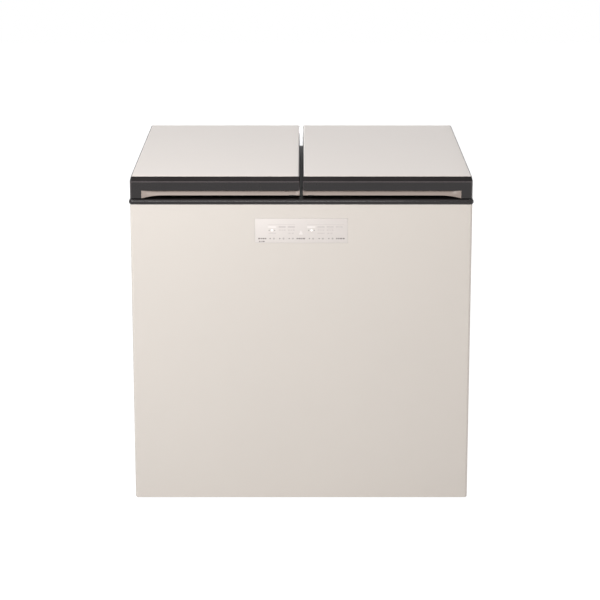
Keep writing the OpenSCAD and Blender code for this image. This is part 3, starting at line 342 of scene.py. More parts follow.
# ---- Bare sheets ----
# The back, the base pan, the partition and the machine cover are zinc-coated steel, left
# unpainted. The cover's louvres are pressed out as small hoods over their slots.


def cells(tree, scale, output):
    """Irregular cells in the object's own coordinates"""
    at = add(tree, "TexCoord").outputs["Object"]
    return add(tree, "TexVoronoi", {"Vector": at, "Scale": scale}).outputs[output]


def spangle_nodes(tree, scale, low, high):
    """Crystal pattern of hot-dip zinc, as a grey value"""
    split = add(tree, "SeparateColor", {"Color": cells(tree, scale, "Color")})
    return remap(tree, split.outputs["Red"], 0, 1, low, high)


zinc_spangle = effect("zinc spangle", "Value", spangle_nodes, Scale=90, Low=0, High=1)
spangle_scale = 110.0
spangle_shade = 0.86
spangle_gloss = 0.07


def zinc(name, colour, gloss):
    """Bare zinc-coated sheet: each crystal has its own tone and shine"""
    material = finish(name, colour, gloss, metal=0.85, grain=(300, 0.01))
    tree = material.node_tree
    skin = tree.nodes["Principled BSDF"]
    plain = skin.inputs["Base Color"].links[0].from_socket
    tone = use(tree, zinc_spangle, Scale=spangle_scale)
    feed(tree, skin, {
        "Base Color": blend(tree, tone, plain, darker(colour, spangle_shade)),
        "Roughness": use(tree, zinc_spangle, Scale=spangle_scale, Low=gloss - spangle_gloss,
                         High=gloss + spangle_gloss)})
    return material


zinc_sheet = zinc("zinc-coated sheet", (188, 190, 190), 0.42)


def dress(material, *nodes, rounding=0.3 * MM, segments=2):
    """CAD nodes that stay: rounded edges and a proper finish"""
    for node in nodes:
        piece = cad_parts[node]
        piece.data.materials.clear()
        piece.data.materials.append(material)
        for face in piece.data.polygons:
            face.material_index = 0
        soften(piece, rounding, segments)


dress(zinc_sheet, "back_panel", "base_pan", "machine_partition", "board_cover")
dress(zinc_sheet, "machine_cover", rounding=0.05 * MM, segments=1)

louvre_w = 160 * MM
louvre_h = 6 * MM
louvre_pitch = 22 * MM
louvres_n = 9
hood_out = 4.5 * MM
hood_rise = 4 * MM
hood_over = 1.5 * MM
hood_t = 0.6 * MM
hood_columns, hood_rows = 29, 8
squareness = 14
room_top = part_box("machine_cover")[1][2]
pan_t = 1.5 * MM
room_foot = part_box("base_pan")[0][2] + pan_t
bank_share = 0.85
bank_pitch = bank_share * 2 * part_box("machine_cover")[1][0] / 3
louvre_low = room_foot + (room_top - room_foot - (louvres_n - 1) * louvre_pitch) / 2


def hood(x, z):
    """Pressed lip over one slot, open below and closed at both ends"""
    points = []
    for u in spread(-1, 1, hood_columns):
        ends = (1 - abs(u) ** squareness) ** 0.5
        for v in spread(0, 1, hood_rows):
            out = hood_out * ends * math.sin(v * math.pi / 2)
            points.append((x + u * (louvre_w / 2 + hood_over), back_y + 0.1 * MM + out,
                           z + louvre_h / 2 + hood_rise - v * (louvre_h + hood_rise)))
    return points, [[a, d, c, b] for a, b, c, d in net(hood_columns, hood_rows)]


hoods = build("louvre_hoods", join([
    hood(bank * bank_pitch, louvre_low + row * louvre_pitch)
    for bank in (-1, 0, 1) for row in range(louvres_n)]), zinc_sheet, outward=False)
thicken(hoods, hood_t)
place(hoods, "cabinet", "zinc_sheet")


def outline(low, high, radii, inset=0.0):
    """Round-cornered rectangle, anticlockwise from its low left corner"""
    x0, y0, x1, y1 = low[0] + inset, low[1] + inset, high[0] - inset, high[1] - inset
    corners = [(x0, y0, 1, 1, 180), (x1, y0, -1, 1, 270), (x1, y1, -1, -1, 0), (x0, y1, 1, -1, 90)]
    points = []
    for (x, y, sx, sy, turn), radius in zip(corners, radii):
        r = max(radius - inset, 1 * MM)
        points += arc(x + sx * r, y + sy * r, r, turn, turn + 90)
    return points


def upright(points, y):
    """Points of an outline in X and Z, set up at one depth"""
    return [(x, y, z) for x, z in points]


bead_in = 34 * MM
bead_r = 30 * MM
bead_w = 7 * MM
bead_out = 1.6 * MM
board_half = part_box("board_cover")[1][0]
back_low, back_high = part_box("back_panel")
bead_low = back_low[2] + bead_in
bead_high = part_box("hinge_brackets")[0][2] - bead_in


def bead(x0, x1):
    """Stiffening bead pressed out of the back sheet, along a round-cornered rectangle"""
    rings = []
    for u in spread(-1, 1, 9):
        path = outline((x0, bead_low), (x1, bead_high), (bead_r,) * 4, u * bead_w / 2)
        rings.append(upright(path, back_y + bead_out * math.cos(u * math.pi / 2)))
    return loft(rings, caps=False)


beads = build("back_beads", join([bead(back_low[0] + bead_in, -board_half - bead_in),
                                  bead(board_half + bead_in, back_high[0] - bead_in)]),
              zinc_sheet)
place(beads, "cabinet", "zinc_sheet")

# ---- Foam ----
# Polyurethane foam, poured between the sheets and the tanks and into the lids. It is cream
# coloured with fine open pores where it is bare.

foam_pores = effect("foam pores", "Height", lambda tree, scale: cells(tree, scale, "Distance"),
                    Scale=900)
foam = finish("poured foam", (232, 220, 176), 0.9, shade=0.85, drift=14.0, relief=foam_pores,
              grain=(700, 0.5))
dress(foam, "insulation")

# ---- Tanks ----
# Two aluminium tanks, each drawn in one piece: a long upper part, and a deep well in front. A
# step covers the machine room. The sheet has a fine stucco relief, and its edges are round.

tank_r = 40 * MM
tank_t = 1.2 * MM
tank_lip = 12 * MM
fold_r = 14 * MM
folds_in_step = 2.02
step_foam = 63.5 * MM
floor_foam = 108.5 * MM
room_d = 262 * MM
well_foam = 88 * MM
step_z = room_top + sheet_t + step_foam
well_z = room_foot + floor_foam
well_back = back_y - room_d - well_foam


def stucco_nodes(tree, scale):
    """Stucco embossing of tank sheet, as a height"""
    return remap(tree, noise(tree, scale, 1.5), 0.35, 0.6, 0.0, 1.0)


stucco = effect("stucco", "Height", stucco_nodes, Scale=260)
tank_metal = finish("tank aluminium", (205, 207, 209), 0.36, metal=0.9, shade=0.93,
                    relief=stucco, grain=(330, 0.22))


def along_path(points, share):
    """Point at a share of the way along a path, and its outward normal"""
    spans = [math.dist(a, b) for a, b in zip(points, points[1:])]
    left = share * sum(spans)
    for (a, b), span in zip(zip(points, points[1:]), spans):
        if left <= span or (a, b) == (points[-2], points[-1]):
            t = left / span
            way = ((b[0] - a[0]) / span, (b[1] - a[1]) / span)
            return (a[0] + (b[0] - a[0]) * t, a[1] + (b[1] - a[1]) * t), (way[1], -way[0])
        left -= span


def shares(points):
    """Share of the way at which each point of a path lies"""
    spans = [math.dist(a, b) for a, b in zip(points, points[1:])]
    return [sum(spans[:i]) / sum(spans) for i in range(len(points))]


def round_edge(step):
    """Quarter circle of radius 1, as distances from the two faces that it joins"""
    turns = [math.radians(a) for a in range(0, 91, step)]
    return [(1 - math.cos(a), 1 - math.sin(a)) for a in turns]


def tank_column(top, foot):
    """Points down one line of a tank's wall: lip, wall, step with round folds, well, floor"""
    (upper, normal_up), (well, normal_well) = top, foot
    reach = math.dist(upper, well)
    r = min(fold_r, reach / folds_in_step)
    way = ((well[0] - upper[0]) / reach, (well[1] - upper[1]) / reach) if reach > 0 else (0, 0)

    def at(start, along, shift, z):
        return start[0] + along[0] * shift, start[1] + along[1] * shift, z

    edge = round_edge(15)
    return ([at(upper, normal_up, tank_lip, rim_z), at(upper, way, 0, rim_z)]
            + [at(upper, way, r * u, step_z + r * v) for u, v in edge]
            + [at(upper, way, reach - r * v, step_z - r * u) for u, v in edge]
            + [at(well, normal_well, -fold_r * u, well_z + fold_r * v) for u, v in edge])


def tank(name, node):
    low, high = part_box(node)
    x0, x1 = low[0] + tank_lip, high[0] - tank_lip
    y0, y1 = low[1] + tank_lip, high[1] - tank_lip
    turn_y = well_back - tank_r
    left, right = x0 + tank_r, x1 - tank_r

    def bend(x, y, start):
        return arc(x, y, tank_r, start, start + 90)

    front = ([(x0, turn_y)] + bend(left, y0 + tank_r, 180) + bend(right, y0 + tank_r, 270)
             + [(x1, turn_y)])
    rear_up = ([(x1, turn_y)] + bend(right, y1 - tank_r, 0) + bend(left, y1 - tank_r, 90)
               + [(x0, turn_y)])
    rear_well = bend(right, turn_y, 0) + bend(left, turn_y, 90)
    columns = [tank_column(at, at) for at in [along_path(front, s) for s in shares(front)]]
    rear_shares = sorted({round(s, 5) for s in shares(rear_up) + shares(rear_well)})
    columns += [tank_column(along_path(rear_up, s), along_path(rear_well, s))
                for s in rear_shares[1:-1]]
    rings = [[column[k] for column in columns] for k in range(len(columns[0]))]
    points, faces = loft(rings, caps=False)
    last = (len(rings) - 1) * len(columns)
    faces.append([last + i for i in range(len(columns))])
    piece = build(name, (points, faces), tank_metal, outward=False)
    thicken(piece, tank_t, even=False)
    return piece


for label in both_sides:
    node = f"tank_{label}"
    place(tank(f"inner_{node}", node), "cabinet", "tank_metal", node)

coil_metal = finish("coil aluminium", (196, 198, 198), 0.34, metal=0.95, grain=(1500, 0.005))
dress(coil_metal, "evaporators", rounding=0.1 * MM)

# ---- Rim and bumpers ----
# One dark plastic moulding caps the cabinet, with a rounded nose that stands proud of the
# sheets and a mouth for each tank. Two low bumpers take the lids' strike tabs.

rim_plastic = finish("dark rim plastic", (23, 17, 19), 0.18, shade=0.9, drift=3.0,
                     grain=(2200, 0.004), shine=0.46)
top_gloss = 0.5


def matt_on_top(material):
    """Grained upper face, so that only the rounded nose is glossy"""
    tree = material.node_tree
    skin = tree.nodes["Principled BSDF"]
    split = add(tree, "SeparateXYZ", {0: add(tree, "TexCoord").outputs["Normal"]})
    gloss = skin.inputs["Roughness"].links[0].from_socket
    feed(tree, skin, {"Roughness": remap(tree, split.outputs["Z"], 0.6, 0.85, gloss, top_gloss)})


matt_on_top(rim_plastic)
dress(rim_plastic, "top_rim", rounding=0.8 * MM, segments=3)
dress(rim_plastic, "rim_bumpers", rounding=0.5 * MM, segments=3)

# ---- Cooling machine ----
# A black enamelled compressor on rubber mounts, a finned condenser, a fan in a plastic shroud,
# and copper pipes. All of it stands in the machine room behind the deep wells.

black_enamel = finish("black enamel", (38, 40, 42), 0.28, shade=0.8, drift=9.0,
                      relief=paint_skin, grain=(260, 0.05), coat=0.3)
black_rubber = finish("black rubber", (34, 34, 35), 0.78, shade=0.8, drift=20.0,
                      grain=(1200, 0.05))
black_plastic = finish("black plastic", (42, 43, 45), 0.5, shade=0.85, grain=(900, 0.03),
                       edge=(58, 58, 60))
grey_metal = finish("cast motor metal", (142, 145, 148), 0.4, metal=0.9, grain=(1500, 0.03))
fin_metal = finish("condenser fins", (160, 164, 166), 0.45, metal=0.9)
copper = finish("drawn copper", (196, 128, 92), 0.3, shade=0.8, drift=18.0, metal=1.0,
                grain=(1500, 0.008))
dress(black_enamel, "compressor", rounding=1.2 * MM, segments=3)
dress(black_rubber, "compressor_mounts", rounding=0.8 * MM)
dress(black_plastic, "terminal_cover", rounding=2 * MM, segments=3)
dress(black_plastic, "fan_shroud", "fan_blades", rounding=0.4 * MM)
dress(grey_metal, "fan_motor", rounding=1 * MM, segments=3)
dress(fin_metal, "condenser", rounding=0.1 * MM)
dress(copper, "filter_drier", rounding=3 * MM, segments=4)
dress(copper, "refrigerant_pipes", rounding=0.1 * MM)

weld_r = 1.6 * MM
weld_out = 0.3
foot_plate_in = 14 * MM
shell_lift = 3 * MM
shell_h = 165 * MM
seam_share = 0.55
ripples = 11
ripple_deep = 0.25 * MM


def middle(low, high):
    """Centre of a box"""
    return [(a + b) / 2 for a, b in zip(low, high)]


def circle(r, sides):
    """Points evenly round a circle"""
    turns = [math.tau * i / sides for i in range(sides)]
    return [(r * math.cos(a), r * math.sin(a)) for a in turns]


def weld_seam(steps=72):
    """Bead of weld round the compressor, where its two halves meet"""
    low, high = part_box("compressor")
    shell_r = (high[0] - low[0] - foot_plate_in) / 2
    cx, cy = middle(low, high)[:2]
    z = low[2] + shell_lift + seam_share * shell_h
    rings = []
    for a in [math.tau * i / steps for i in range(steps)]:
        r = shell_r + weld_r * weld_out + ripple_deep * math.sin(ripples * a)
        rings.append([(cx + (r + out) * math.cos(a), cy + (r + out) * math.sin(a), z + up)
                      for out, up in circle(weld_r, 8)])
    return build("compressor_weld", loft(rings, tube=True), black_enamel)


place(weld_seam(), "cabinet", "compressor_paint")

# ---- Controls ----
# A glossy film plate lies flush in the front sheet's window, with a touch board behind it. The
# main board stands in a plastic case in the back, and the mains inlet sits in the cover.

white_plastic = finish("white plastic", (228, 228, 224), 0.48, grain=(900, 0.03))
board_green = finish("circuit board", (44, 106, 68), 0.35, shade=0.85, drift=60.0)
dress(white_plastic, "board_case", "display_housing", "wire_conduit", rounding=0.4 * MM)
dress(board_green, "main_board", "display_board", rounding=0.15 * MM)
dress(black_plastic, "power_inlet", rounding=0.5 * MM)

panel_film = finish("panel film", (225, 217, 213), 0.34, shade=0.995, drift=1.0,
                    relief=paint_skin, grain=(200, 0.002), shine=0.35)
panel_corner = 2 * MM
film_edge = 0.35 * MM


def film_plate():
    low, high = (-window_x, window_low_z), (window_x, window_high_z)
    radii = (panel_corner,) * 4
    sheet_back = front_y + sheet_t
    edge = [(film_edge, front_y), (film_edge * 0.3, front_y + film_edge * 0.3),
            (0, front_y + film_edge), (0, sheet_back + 0.1 * MM)]
    face = loft([upright(outline(low, high, radii, inset), y) for inset, y in edge])
    flange = loft([upright(outline((plate_low[0], plate_low[2]), (plate_high[0], plate_high[2]),
                                   radii), y) for y in (sheet_back, plate_high[1])])
    return build("control_panel", join([face, flange]), panel_film)


place(film_plate(), "cabinet", "display_film", "display_plate")

print_out = 0.05 * MM
grey_print = finish("grey print", (128, 119, 118), 0.5)
faint_print = finish("faint print", (210, 201, 198), 0.5)
pale_print = finish("pale print", (241, 233, 230), 0.5)
lit_print = finish("lit mark", (255, 255, 255), 0.4)
lit_nodes = lit_print.node_tree
feed(lit_nodes, lit_nodes.nodes["Principled BSDF"],
     {"Emission Color": srgb(255, 255, 252), "Emission Strength": 0.35})
panel_mid = (window_low_z + window_high_z) / 2


def mark(points):
    """Print of one outline, given round the panel's middle in millimetres"""
    shape = [(x * MM, panel_mid + z * MM) for x, z in points]
    return loft([upright(shape, front_y - print_out), upright(shape, front_y + print_out)])


def bar(x0, x1, z, height):
    return mark([(x0, z - height / 2), (x1, z - height / 2), (x1, z + height / 2),
                 (x0, z + height / 2)])


def disc(x, z, r):
    return mark(arc(x, z, r, 0, 348, 29))


def hoop(x, z, r, width, sides=20):
    """Ring drawn as short bars round a circle"""
    rims = list(zip(circle(r, sides), circle(r + width, sides)))
    return join([mark([(x + u, z + v) for u, v in (a, b, d, c)])
                 for (a, b), (c, d) in zip(rims, rims[1:] + rims[:1])])


def dashes(x0, x1, z, height, pattern):
    """Row of short bars; the pattern gives their lengths"""
    unit = (x1 - x0) / (sum(pattern) + len(pattern) - 1)
    parts = []
    for length in pattern:
        parts.append(bar(x0, x0 + unit * length, z, height))
        x0 += unit * (length + 1)
    return join(parts)


tank_sides = [-79.0, 27.6]
key_row = -21.6
pairs = [-79.0, -53.0, -27.6, 26.9, 53.2, 79.2]
grey_marks = [dashes(x0, x1, key_row, 3.6, rhythm) for x0, x1, rhythm in
              [(-116, -94.6, (3, 2, 3, 2)), (-12.4, 9.7, (2, 3, 2, 3)), (94, 116.6, (2, 2, 3, 3))]]
grey_marks += [dashes(-114, -99, -29.6, 3.0, (2, 1, 3))]
for x in pairs:
    grey_marks += [disc(x - 5, key_row, 1.5), hoop(x + 5, key_row, 1.2, 0.9)]
for x in tank_sides:
    grey_marks += [disc(x - 7.6, 1.2, 1.2), disc(x + 7.4, 1.2, 1.2)]
faint_marks = [bar(-90.2, -16.7, 17.2, 0.9), bar(15.9, 115.6, 17.2, 0.9)]
faint_marks += [bar(x, x + 19, 10.5, 4.6) for x in (-61.0, -36.5, 43.5, 68.0, 92.5)]
faint_marks += [dashes(x, x + 18, 1.8, 2.6, (3, 2, 3)) for x in (-60.5, -36.0, 44.0, 68.5)]
faint_marks += [dashes(x, x + 14, -7, 2.4, (2, 2)) for x in (-34.5, 70.0)]
faint_marks += [bar(-88, -68, -7, 1.8), bar(43.5, 62.5, -7, 1.8)]
faint_marks += [bar(x + 12.8, x + 13.3, key_row, 5) for x in pairs if abs(x) < 60 or x < 0]
pale_marks = [bar(-90.2, -67.6, 10.5, 5.2), bar(15.9, 37.4, 10.5, 5.2),
              mark([(-6.5, -10.5), (4.5, -10.5), (-1, 1.5)])]
lit_marks = [disc(x, 1.2, 2.6) for x in tank_sides]
marks = {"grey": (grey_marks, grey_print), "faint": (faint_marks, faint_print),
         "pale": (pale_marks, pale_print), "lit": (lit_marks, lit_print)}
for label, (parts, material) in marks.items():
    prints = build(f"panel_marks_{label}", join(parts), material)
    prints.data.shade_flat()
    place(prints, "cabinet", "display_film")

# ---- Hinges ----
# Steel brackets are screwed to the back, each with two ears. A pin joins them to the eye on a
# lid's arm, and a cartridge beside it holds the spring that helps to lift the lid.

dress(zinc_sheet, "hinge_brackets", rounding=0.7 * MM, segments=3)
dress(black_plastic, "spring_cartridges", rounding=0.8 * MM, segments=3)

steel_lines = relief_group("pin steel lines", 3.0, (6, 1, 1))
arm_steel = zinc("lid arm steel", (172, 175, 176), 0.4)
pin_steel = finish("pin steel", (196, 198, 200), 0.26, metal=1.0, relief=steel_lines,
                   grain=(900, 0.012))
screw_head_r = 4.5 * MM
screw_head_h = 2.5 * MM
cross_w = 0.9 * MM
cross_reach = 2.6 * MM
cross_deep = 1.5 * MM


def screw_face(x, y, z, steps=12, sides=48):
    """Domed head with a cross recess, facing back from y"""
    rings = [[(x + px, y, z + pz) for px, pz in circle(screw_head_r, sides)]]
    for k in range(1, steps):
        r = screw_head_r * (1 - k / steps)
        dome = screw_head_h * (1 - (r / screw_head_r) ** 4) ** 0.5
        ring = []
        for px, pz in circle(r, sides):
            in_cross = min(abs(px), abs(pz)) < cross_w / 2 and r < cross_reach
            ring.append((x + px, y + dome - (cross_deep if in_cross else 0), z + pz))
        rings.append(ring)
    return loft(rings)


def islands(node):
    """Box of each loose solid of a CAD node"""
    work = bmesh.new()
    work.from_mesh(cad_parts[node].data)
    bmesh.ops.remove_doubles(work, verts=work.verts, dist=0.01 * MM)
    left, found = set(work.verts), []
    while left:
        group, edge = set(), [left.pop()]
        while edge:
            vert = edge.pop()
            group.add(vert)
            more = [e.other_vert(vert) for e in vert.link_edges]
            edge += [v for v in more if v in left]
            left -= set(more)
        found.append(([min(v.co[i] for v in group) for i in range(3)],
                      [max(v.co[i] for v in group) for i in range(3)]))
    work.free()
    return sorted(found)


def rod(start, end, r):
    """Round bar from one point to another"""
    start, end = Vector(start), Vector(end)
    turn = (end - start).to_track_quat("Z", "Y").to_matrix()
    ring = [turn @ Vector((u, v, 0)) for u, v in circle(r, 24)]
    return loft([[start + p for p in ring], [end + p for p in ring]])


def rear_screws():
    """Shank and head of each screw in the back"""
    parts = []
    for low, high in islands("rear_screws"):
        x, _, z = middle(low, high)
        seat = high[1] - screw_head_h
        parts += [rod((x, low[1], z), (x, seat + 0.2 * MM, z), 2 * MM), screw_face(x, seat, z)]
    return build("rear_screw_set", join(parts), pin_steel)


place(rear_screws(), "cabinet", "pin_steel", "rear_screws")

# ---- Lids ----
# Each lid is a dark plastic frame with a glossy pale panel on top, foam inside and a white
# plate with a plug below. Its front has a wide opening with a pale grip that leans back.

lid_gap = 8.6 * MM
gap_r = 3 * MM
frame_wall = 3 * MM
bevel_in = 3.5 * MM
gap_bevel_in = 1.2 * MM
bevel_h = 11 * MM
facet_h = 3 * MM
facet_in = 0.3 * MM
lip_h = 3 * MM
lip_t = 1 * MM
ledge_w = 10 * MM
ledge_t = 2 * MM
lid_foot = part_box("lid_left_frame")[0][2]
panel_foot, lid_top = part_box("lid_left_panel")[0][2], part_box("lid_left_panel")[1][2]
bevel_foot = panel_foot - bevel_h

frame_side = finish("dark lid plastic", (24, 19, 20), 0.26, shade=0.92, drift=3.0,
                    grain=(2200, 0.006))
# Glossier copy of the lid plastic for the bevel, with darker colour and lower shine: painted shade
# that stands for a dark reflection.
shaded_bevel_plastic = finish("glossy lid bevel, painted darker", (21, 15, 16), 0.2, shade=0.92, drift=3.0,
                     relief=paint_skin, grain=(500, 0.003), shine=0.25)
# Lighter copy of the lid plastic for the frame's rounded edges and front corners: a painted
# highlight where they catch the light.
painted_highlight_edge = finish("frame edge with painted highlight", (76, 69, 70), 0.3, shade=0.85, drift=40.0,
                    grain=(2200, 0.004), shine=0.4)
lid_skin = finish("pale lid panel", (221, 212, 206), 0.32, shade=0.985, drift=2.0,
                  spread_gloss=0.006, relief=paint_skin, grain=(300, 0.002), shine=0.3)
# The grip's pale plastic is set darker all over: painted shade for its recess under the frame's
# lip.
grip_plastic = finish("pale grip plastic, painted darker", (153, 139, 131), 0.4, shade=0.96, drift=6.0,
                      grain=(1800, 0.01))
liner_plastic = finish("white liner", (236, 236, 233), 0.32, shade=0.985, drift=3.0,
                       grain=(1400, 0.01))


def lid_low_high(side):
    """Corners of a lid's outline"""
    near, far = side * lid_gap / 2, side * half_w
    return (min(near, far), front_y), (max(near, far), back_y)


def lid_radii(side):
    """Corner radii, from the low left corner anticlockwise; sharper beside the gap"""
    return (edge_r, gap_r, gap_r, edge_r) if side < 0 else (gap_r, edge_r, edge_r, gap_r)


def level(points, z):
    """Points of a plan, set at one height"""
    return [(x, y, z) for x, y in points]


def lid_ring(side, inset, gap_inset, z, radii=None):
    """Lid's outline drawn in by `inset`, and by `gap_inset` on the side beside the gap"""
    low, high = lid_low_high(side)
    out = inset - gap_inset
    low, high = (low[0] - max(side, 0) * out, low[1]), (high[0] + max(-side, 0) * out, high[1])
    return level(outline(low, high, radii or lid_radii(side), inset), z)


def block(low, high):
    """Plain block from corner to corner"""
    (x0, y0, z0), (x1, y1, z1) = low, high
    return loft([level([(x0, y0), (x1, y0), (x1, y1), (x0, y1)], z) for z in (z0, z1)])


def carve(piece, *blocks):
    """Cuts blocks out of a piece"""
    cutter = build(piece.name + "_cutter", join(blocks))
    modify(piece, "cut", "BOOLEAN", operation="DIFFERENCE", solver="EXACT", use_self=True,
           object=cutter)
    bpy.context.view_layer.update()
    solid = piece.evaluated_get(bpy.context.evaluated_depsgraph_get())
    mesh = bpy.data.meshes.new_from_object(solid)
    piece.modifiers.clear()
    piece.data = mesh
    bpy.data.objects.remove(cutter)


liner_foot = lid_foot + 2 * MM
grip_d = 34 * MM
grip_top = lid_foot + 21 * MM
strip_foot = grip_top - 13 * MM
pocket_top = strip_foot + 20 * MM
grip_wall = 3 * MM
leg_w = 31 * MM
leg_x = half_w - leg_w
rise_w = 59 * MM


def lid_frame(side, name):
    """Plastic ring: upright side, glossy bevel in painted shade, lip, and the ledge that carries
    the panel
    """
    lip, ledge, wall = (bevel_in + lip_t, gap_bevel_in + lip_t), (ledge_w,) * 2, (frame_wall,) * 2
    section = [((0, 0), lid_foot), ((0, 0), bevel_foot - facet_h / 2),
               ((facet_in, facet_in / 2), bevel_foot + facet_h / 2),
               ((bevel_in, gap_bevel_in), panel_foot + lip_h), (lip, panel_foot + lip_h),
               (lip, panel_foot), (ledge, panel_foot), (ledge, bevel_foot - ledge_t),
               (wall, bevel_foot - ledge_t), (wall, lid_foot)]
    rings = [lid_ring(side, *insets, z) for insets, z in section]
    piece = build(name, loft(rings, tube=True), frame_side, shaded_bevel_plastic, painted_highlight_edge)
    # Faces at the bevel's foot and on the front corner arcs take the painted highlight; faces on
    # the bevel take its painted shade.
    for face in piece.data.polygons:
        over_foot = face.center.z - bevel_foot
        corner = over_foot < 0 and face.normal.y < 0 and 0.4 < abs(face.normal.x) < 0.9
        if abs(face.normal.z) < 0.5 and (corner or abs(over_foot) < 1 * MM):
            face.material_index = 2
        elif 1 * MM < over_foot < bevel_h + lip_h - 1 * MM and 0.02 < face.normal.z < 0.9:
            face.material_index = 1
    ends = sorted((-side * lid_gap, side * leg_x))
    past = 5 * MM
    carve(piece,
          block((ends[0], front_y - past, lid_foot - past),
                (ends[1], front_y + grip_d, grip_top)),
          block((ends[0], front_y + frame_wall, lid_foot),
                (ends[1], front_y + grip_d, pocket_top + grip_wall)))
    # The roundings take the painted highlight too.
    soften(piece, 0.7 * MM, segments=3, angle=4, rounded_in=2)
    return piece


panel_edge = lid_top - panel_foot - 1 * MM
panel_play = 0.05 * MM


def lid_panel(side, name):
    """Glossy panel with a round upper edge, set inside the frame's lip"""
    corners = (edge_r,) * 4
    side_in, gap_in = bevel_in + lip_t + panel_play, gap_bevel_in + lip_t + panel_play

    def ring(inset, z):
        return lid_ring(side, side_in + inset, gap_in + inset, z, corners)

    rings = [ring(0, panel_foot)]
    rings += [ring(panel_edge * u, lid_top - panel_edge * v) for u, v in round_edge(10)]
    rings += [ring(panel_edge + step * 20 * MM, lid_top) for step in range(1, 4)]
    return build(name, loft(rings), lid_skin)


strip_back = frame_wall + 0.2 * MM
strip_lip = 2 * MM
lean = 7 * MM
outer_end_w = 30 * MM
gap_end_w = 10 * MM
grip_play = 0.15 * MM
tab_x = 26 * MM
tab_w = 16 * MM
tab_h = 1.5 * MM


def strip_edge(x):
    """Height of the grip's lower edge, which drops along an arc towards the outer end"""
    along = x - (leg_x - rise_w)
    if along <= 0:
        return strip_foot
    r = (rise_w ** 2 + (strip_foot - lid_foot) ** 2) / (2 * (strip_foot - lid_foot))
    return strip_foot - r + math.sqrt(r * r - along ** 2)


def ease(t):
    t = min(max(t, 0), 1)
    return t * t * (3 - 2 * t)


def lid_grip(side, name):
    """Grip: a strip that leans back between its two upright ends, a ceiling and a back wall"""
    x0 = lid_gap / 2
    far = leg_x - rise_w
    stations = (spread(x0, x0 + gap_end_w, 9) + spread(x0 + 20 * MM, far, 12)
                + spread(far + 4 * MM, leg_x, 24))
    ceiling = pocket_top + grip_wall
    rings = []
    for x in stations:
        back = lean * ease((x - x0) / gap_end_w) * ease((leg_x - x) / outer_end_w)
        low = strip_edge(x)
        leaning = [(back * t, strip_foot + strip_lip + t * (grip_top - strip_foot - strip_lip)
                    - grip_play * t) for t in spread(0, 1, 6)]
        section = [(0, low)] + leaning + [
            (strip_back, grip_top - grip_play), (strip_back, ceiling), (grip_d, ceiling),
            (grip_d, liner_foot), (grip_d - grip_wall, liner_foot),
            (grip_d - grip_wall, pocket_top), (lean + grip_wall, pocket_top),
            (lean + grip_wall, grip_top), (grip_wall, strip_foot), (grip_wall, low - 0.01 * MM)]
        rings.append([(side * x, front_y + y, z) for y, z in section])
    parts = [loft(rings)]
    end_wall = [(grip_wall / 2, strip_foot), (lean + grip_wall / 2, grip_top),
                (lean + grip_wall / 2, ceiling), (grip_d, ceiling), (grip_d, strip_foot)]
    parts += [loft([[(side * u, front_y + y, z) for y, z in end_wall]
                    for u in (x, x + grip_wall)]) for x in (x0, leg_x - grip_wall)]
    ends = sorted((side * (tab_x - tab_w / 2), side * (tab_x + tab_w / 2)))
    parts.append(block((ends[0], front_y, strip_foot - tab_h),
                       (ends[1], front_y + grip_wall, strip_foot + 1 * MM)))
    piece = build(name, join(parts), grip_plastic, black_rubber)
    # The strike tabs' faces below the strip take the black rubber: painted shade, for tabs that
    # sit in the grip's shadow.
    for face in piece.data.polygons:
        on_tab = min(ends) < face.center.x < max(ends) and face.center.y < front_y + grip_wall
        if on_tab and face.center.z < strip_foot and face.normal.z < 0.9:
            face.material_index = 1
    soften(piece, 0.45 * MM, segments=3)
    return piece


liner_t = 2 * MM
plug_h = 19 * MM
plug_gap = 9 * MM
plug_edge = 5 * MM
plate_in = 4.2 * MM
recess_in = 26 * MM
recess_deep = 1.2 * MM


def tank_mouth(side):
    """Corners of a tank's mouth in plan"""
    low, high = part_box("tank_left" if side < 0 else "tank_right")
    return (low[0] + tank_lip, low[1] + tank_lip), (high[0] - tank_lip, high[1] - tank_lip)


def lid_liner(side, name):
    """White plate with a plug that hangs in the tank's mouth, its face slightly sunk"""
    plate_front, behind_grip = front_y + plate_in, front_y + grip_d + 0.3 * MM
    shape = [(x, max(y, behind_grip if abs(x) < leg_x else plate_front))
             for x, y in outline(*lid_low_high(side), lid_radii(side), frame_wall)]
    path = []
    for before, point in zip(shape[-1:] + shape, shape):
        crosses = (abs(point[0]) >= leg_x) != (abs(before[0]) >= leg_x)
        if crosses and min(point[1], before[1]) < front_y + grip_d:
            path += [(side * leg_x, before[1]), (side * leg_x, point[1])]
        path.append(point)
    plate = loft([level(path, z) for z in (liner_foot, liner_foot + liner_t)])
    mouth_low, mouth_high = tank_mouth(side)

    def ring(inset, z):
        radii = (tank_r + plug_gap / 2,) * 4
        return level(outline(mouth_low, mouth_high, radii, plug_gap + inset), z)

    foot = liner_foot - plug_h
    rings = [ring(0, liner_foot + 0.2 * MM)]
    rings += [ring(plug_edge * u, foot + plug_edge * v) for u, v in round_edge(15)]
    rings += [ring(recess_in + 3 * MM * t, foot + recess_deep * ease(t)) for t in spread(0, 1, 6)]
    piece = build(name, join([plate, loft(rings)]), liner_plastic)
    soften(piece, 0.3 * MM)
    return piece


gasket_off = 8 * MM
gasket_w = 14 * MM
gasket_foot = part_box("lid_left_gasket")[0][2]
gasket_skin = finish("grey gasket rubber", (108, 104, 104), 0.6, shade=0.9, drift=12.0,
                     grain=(1400, 0.02))


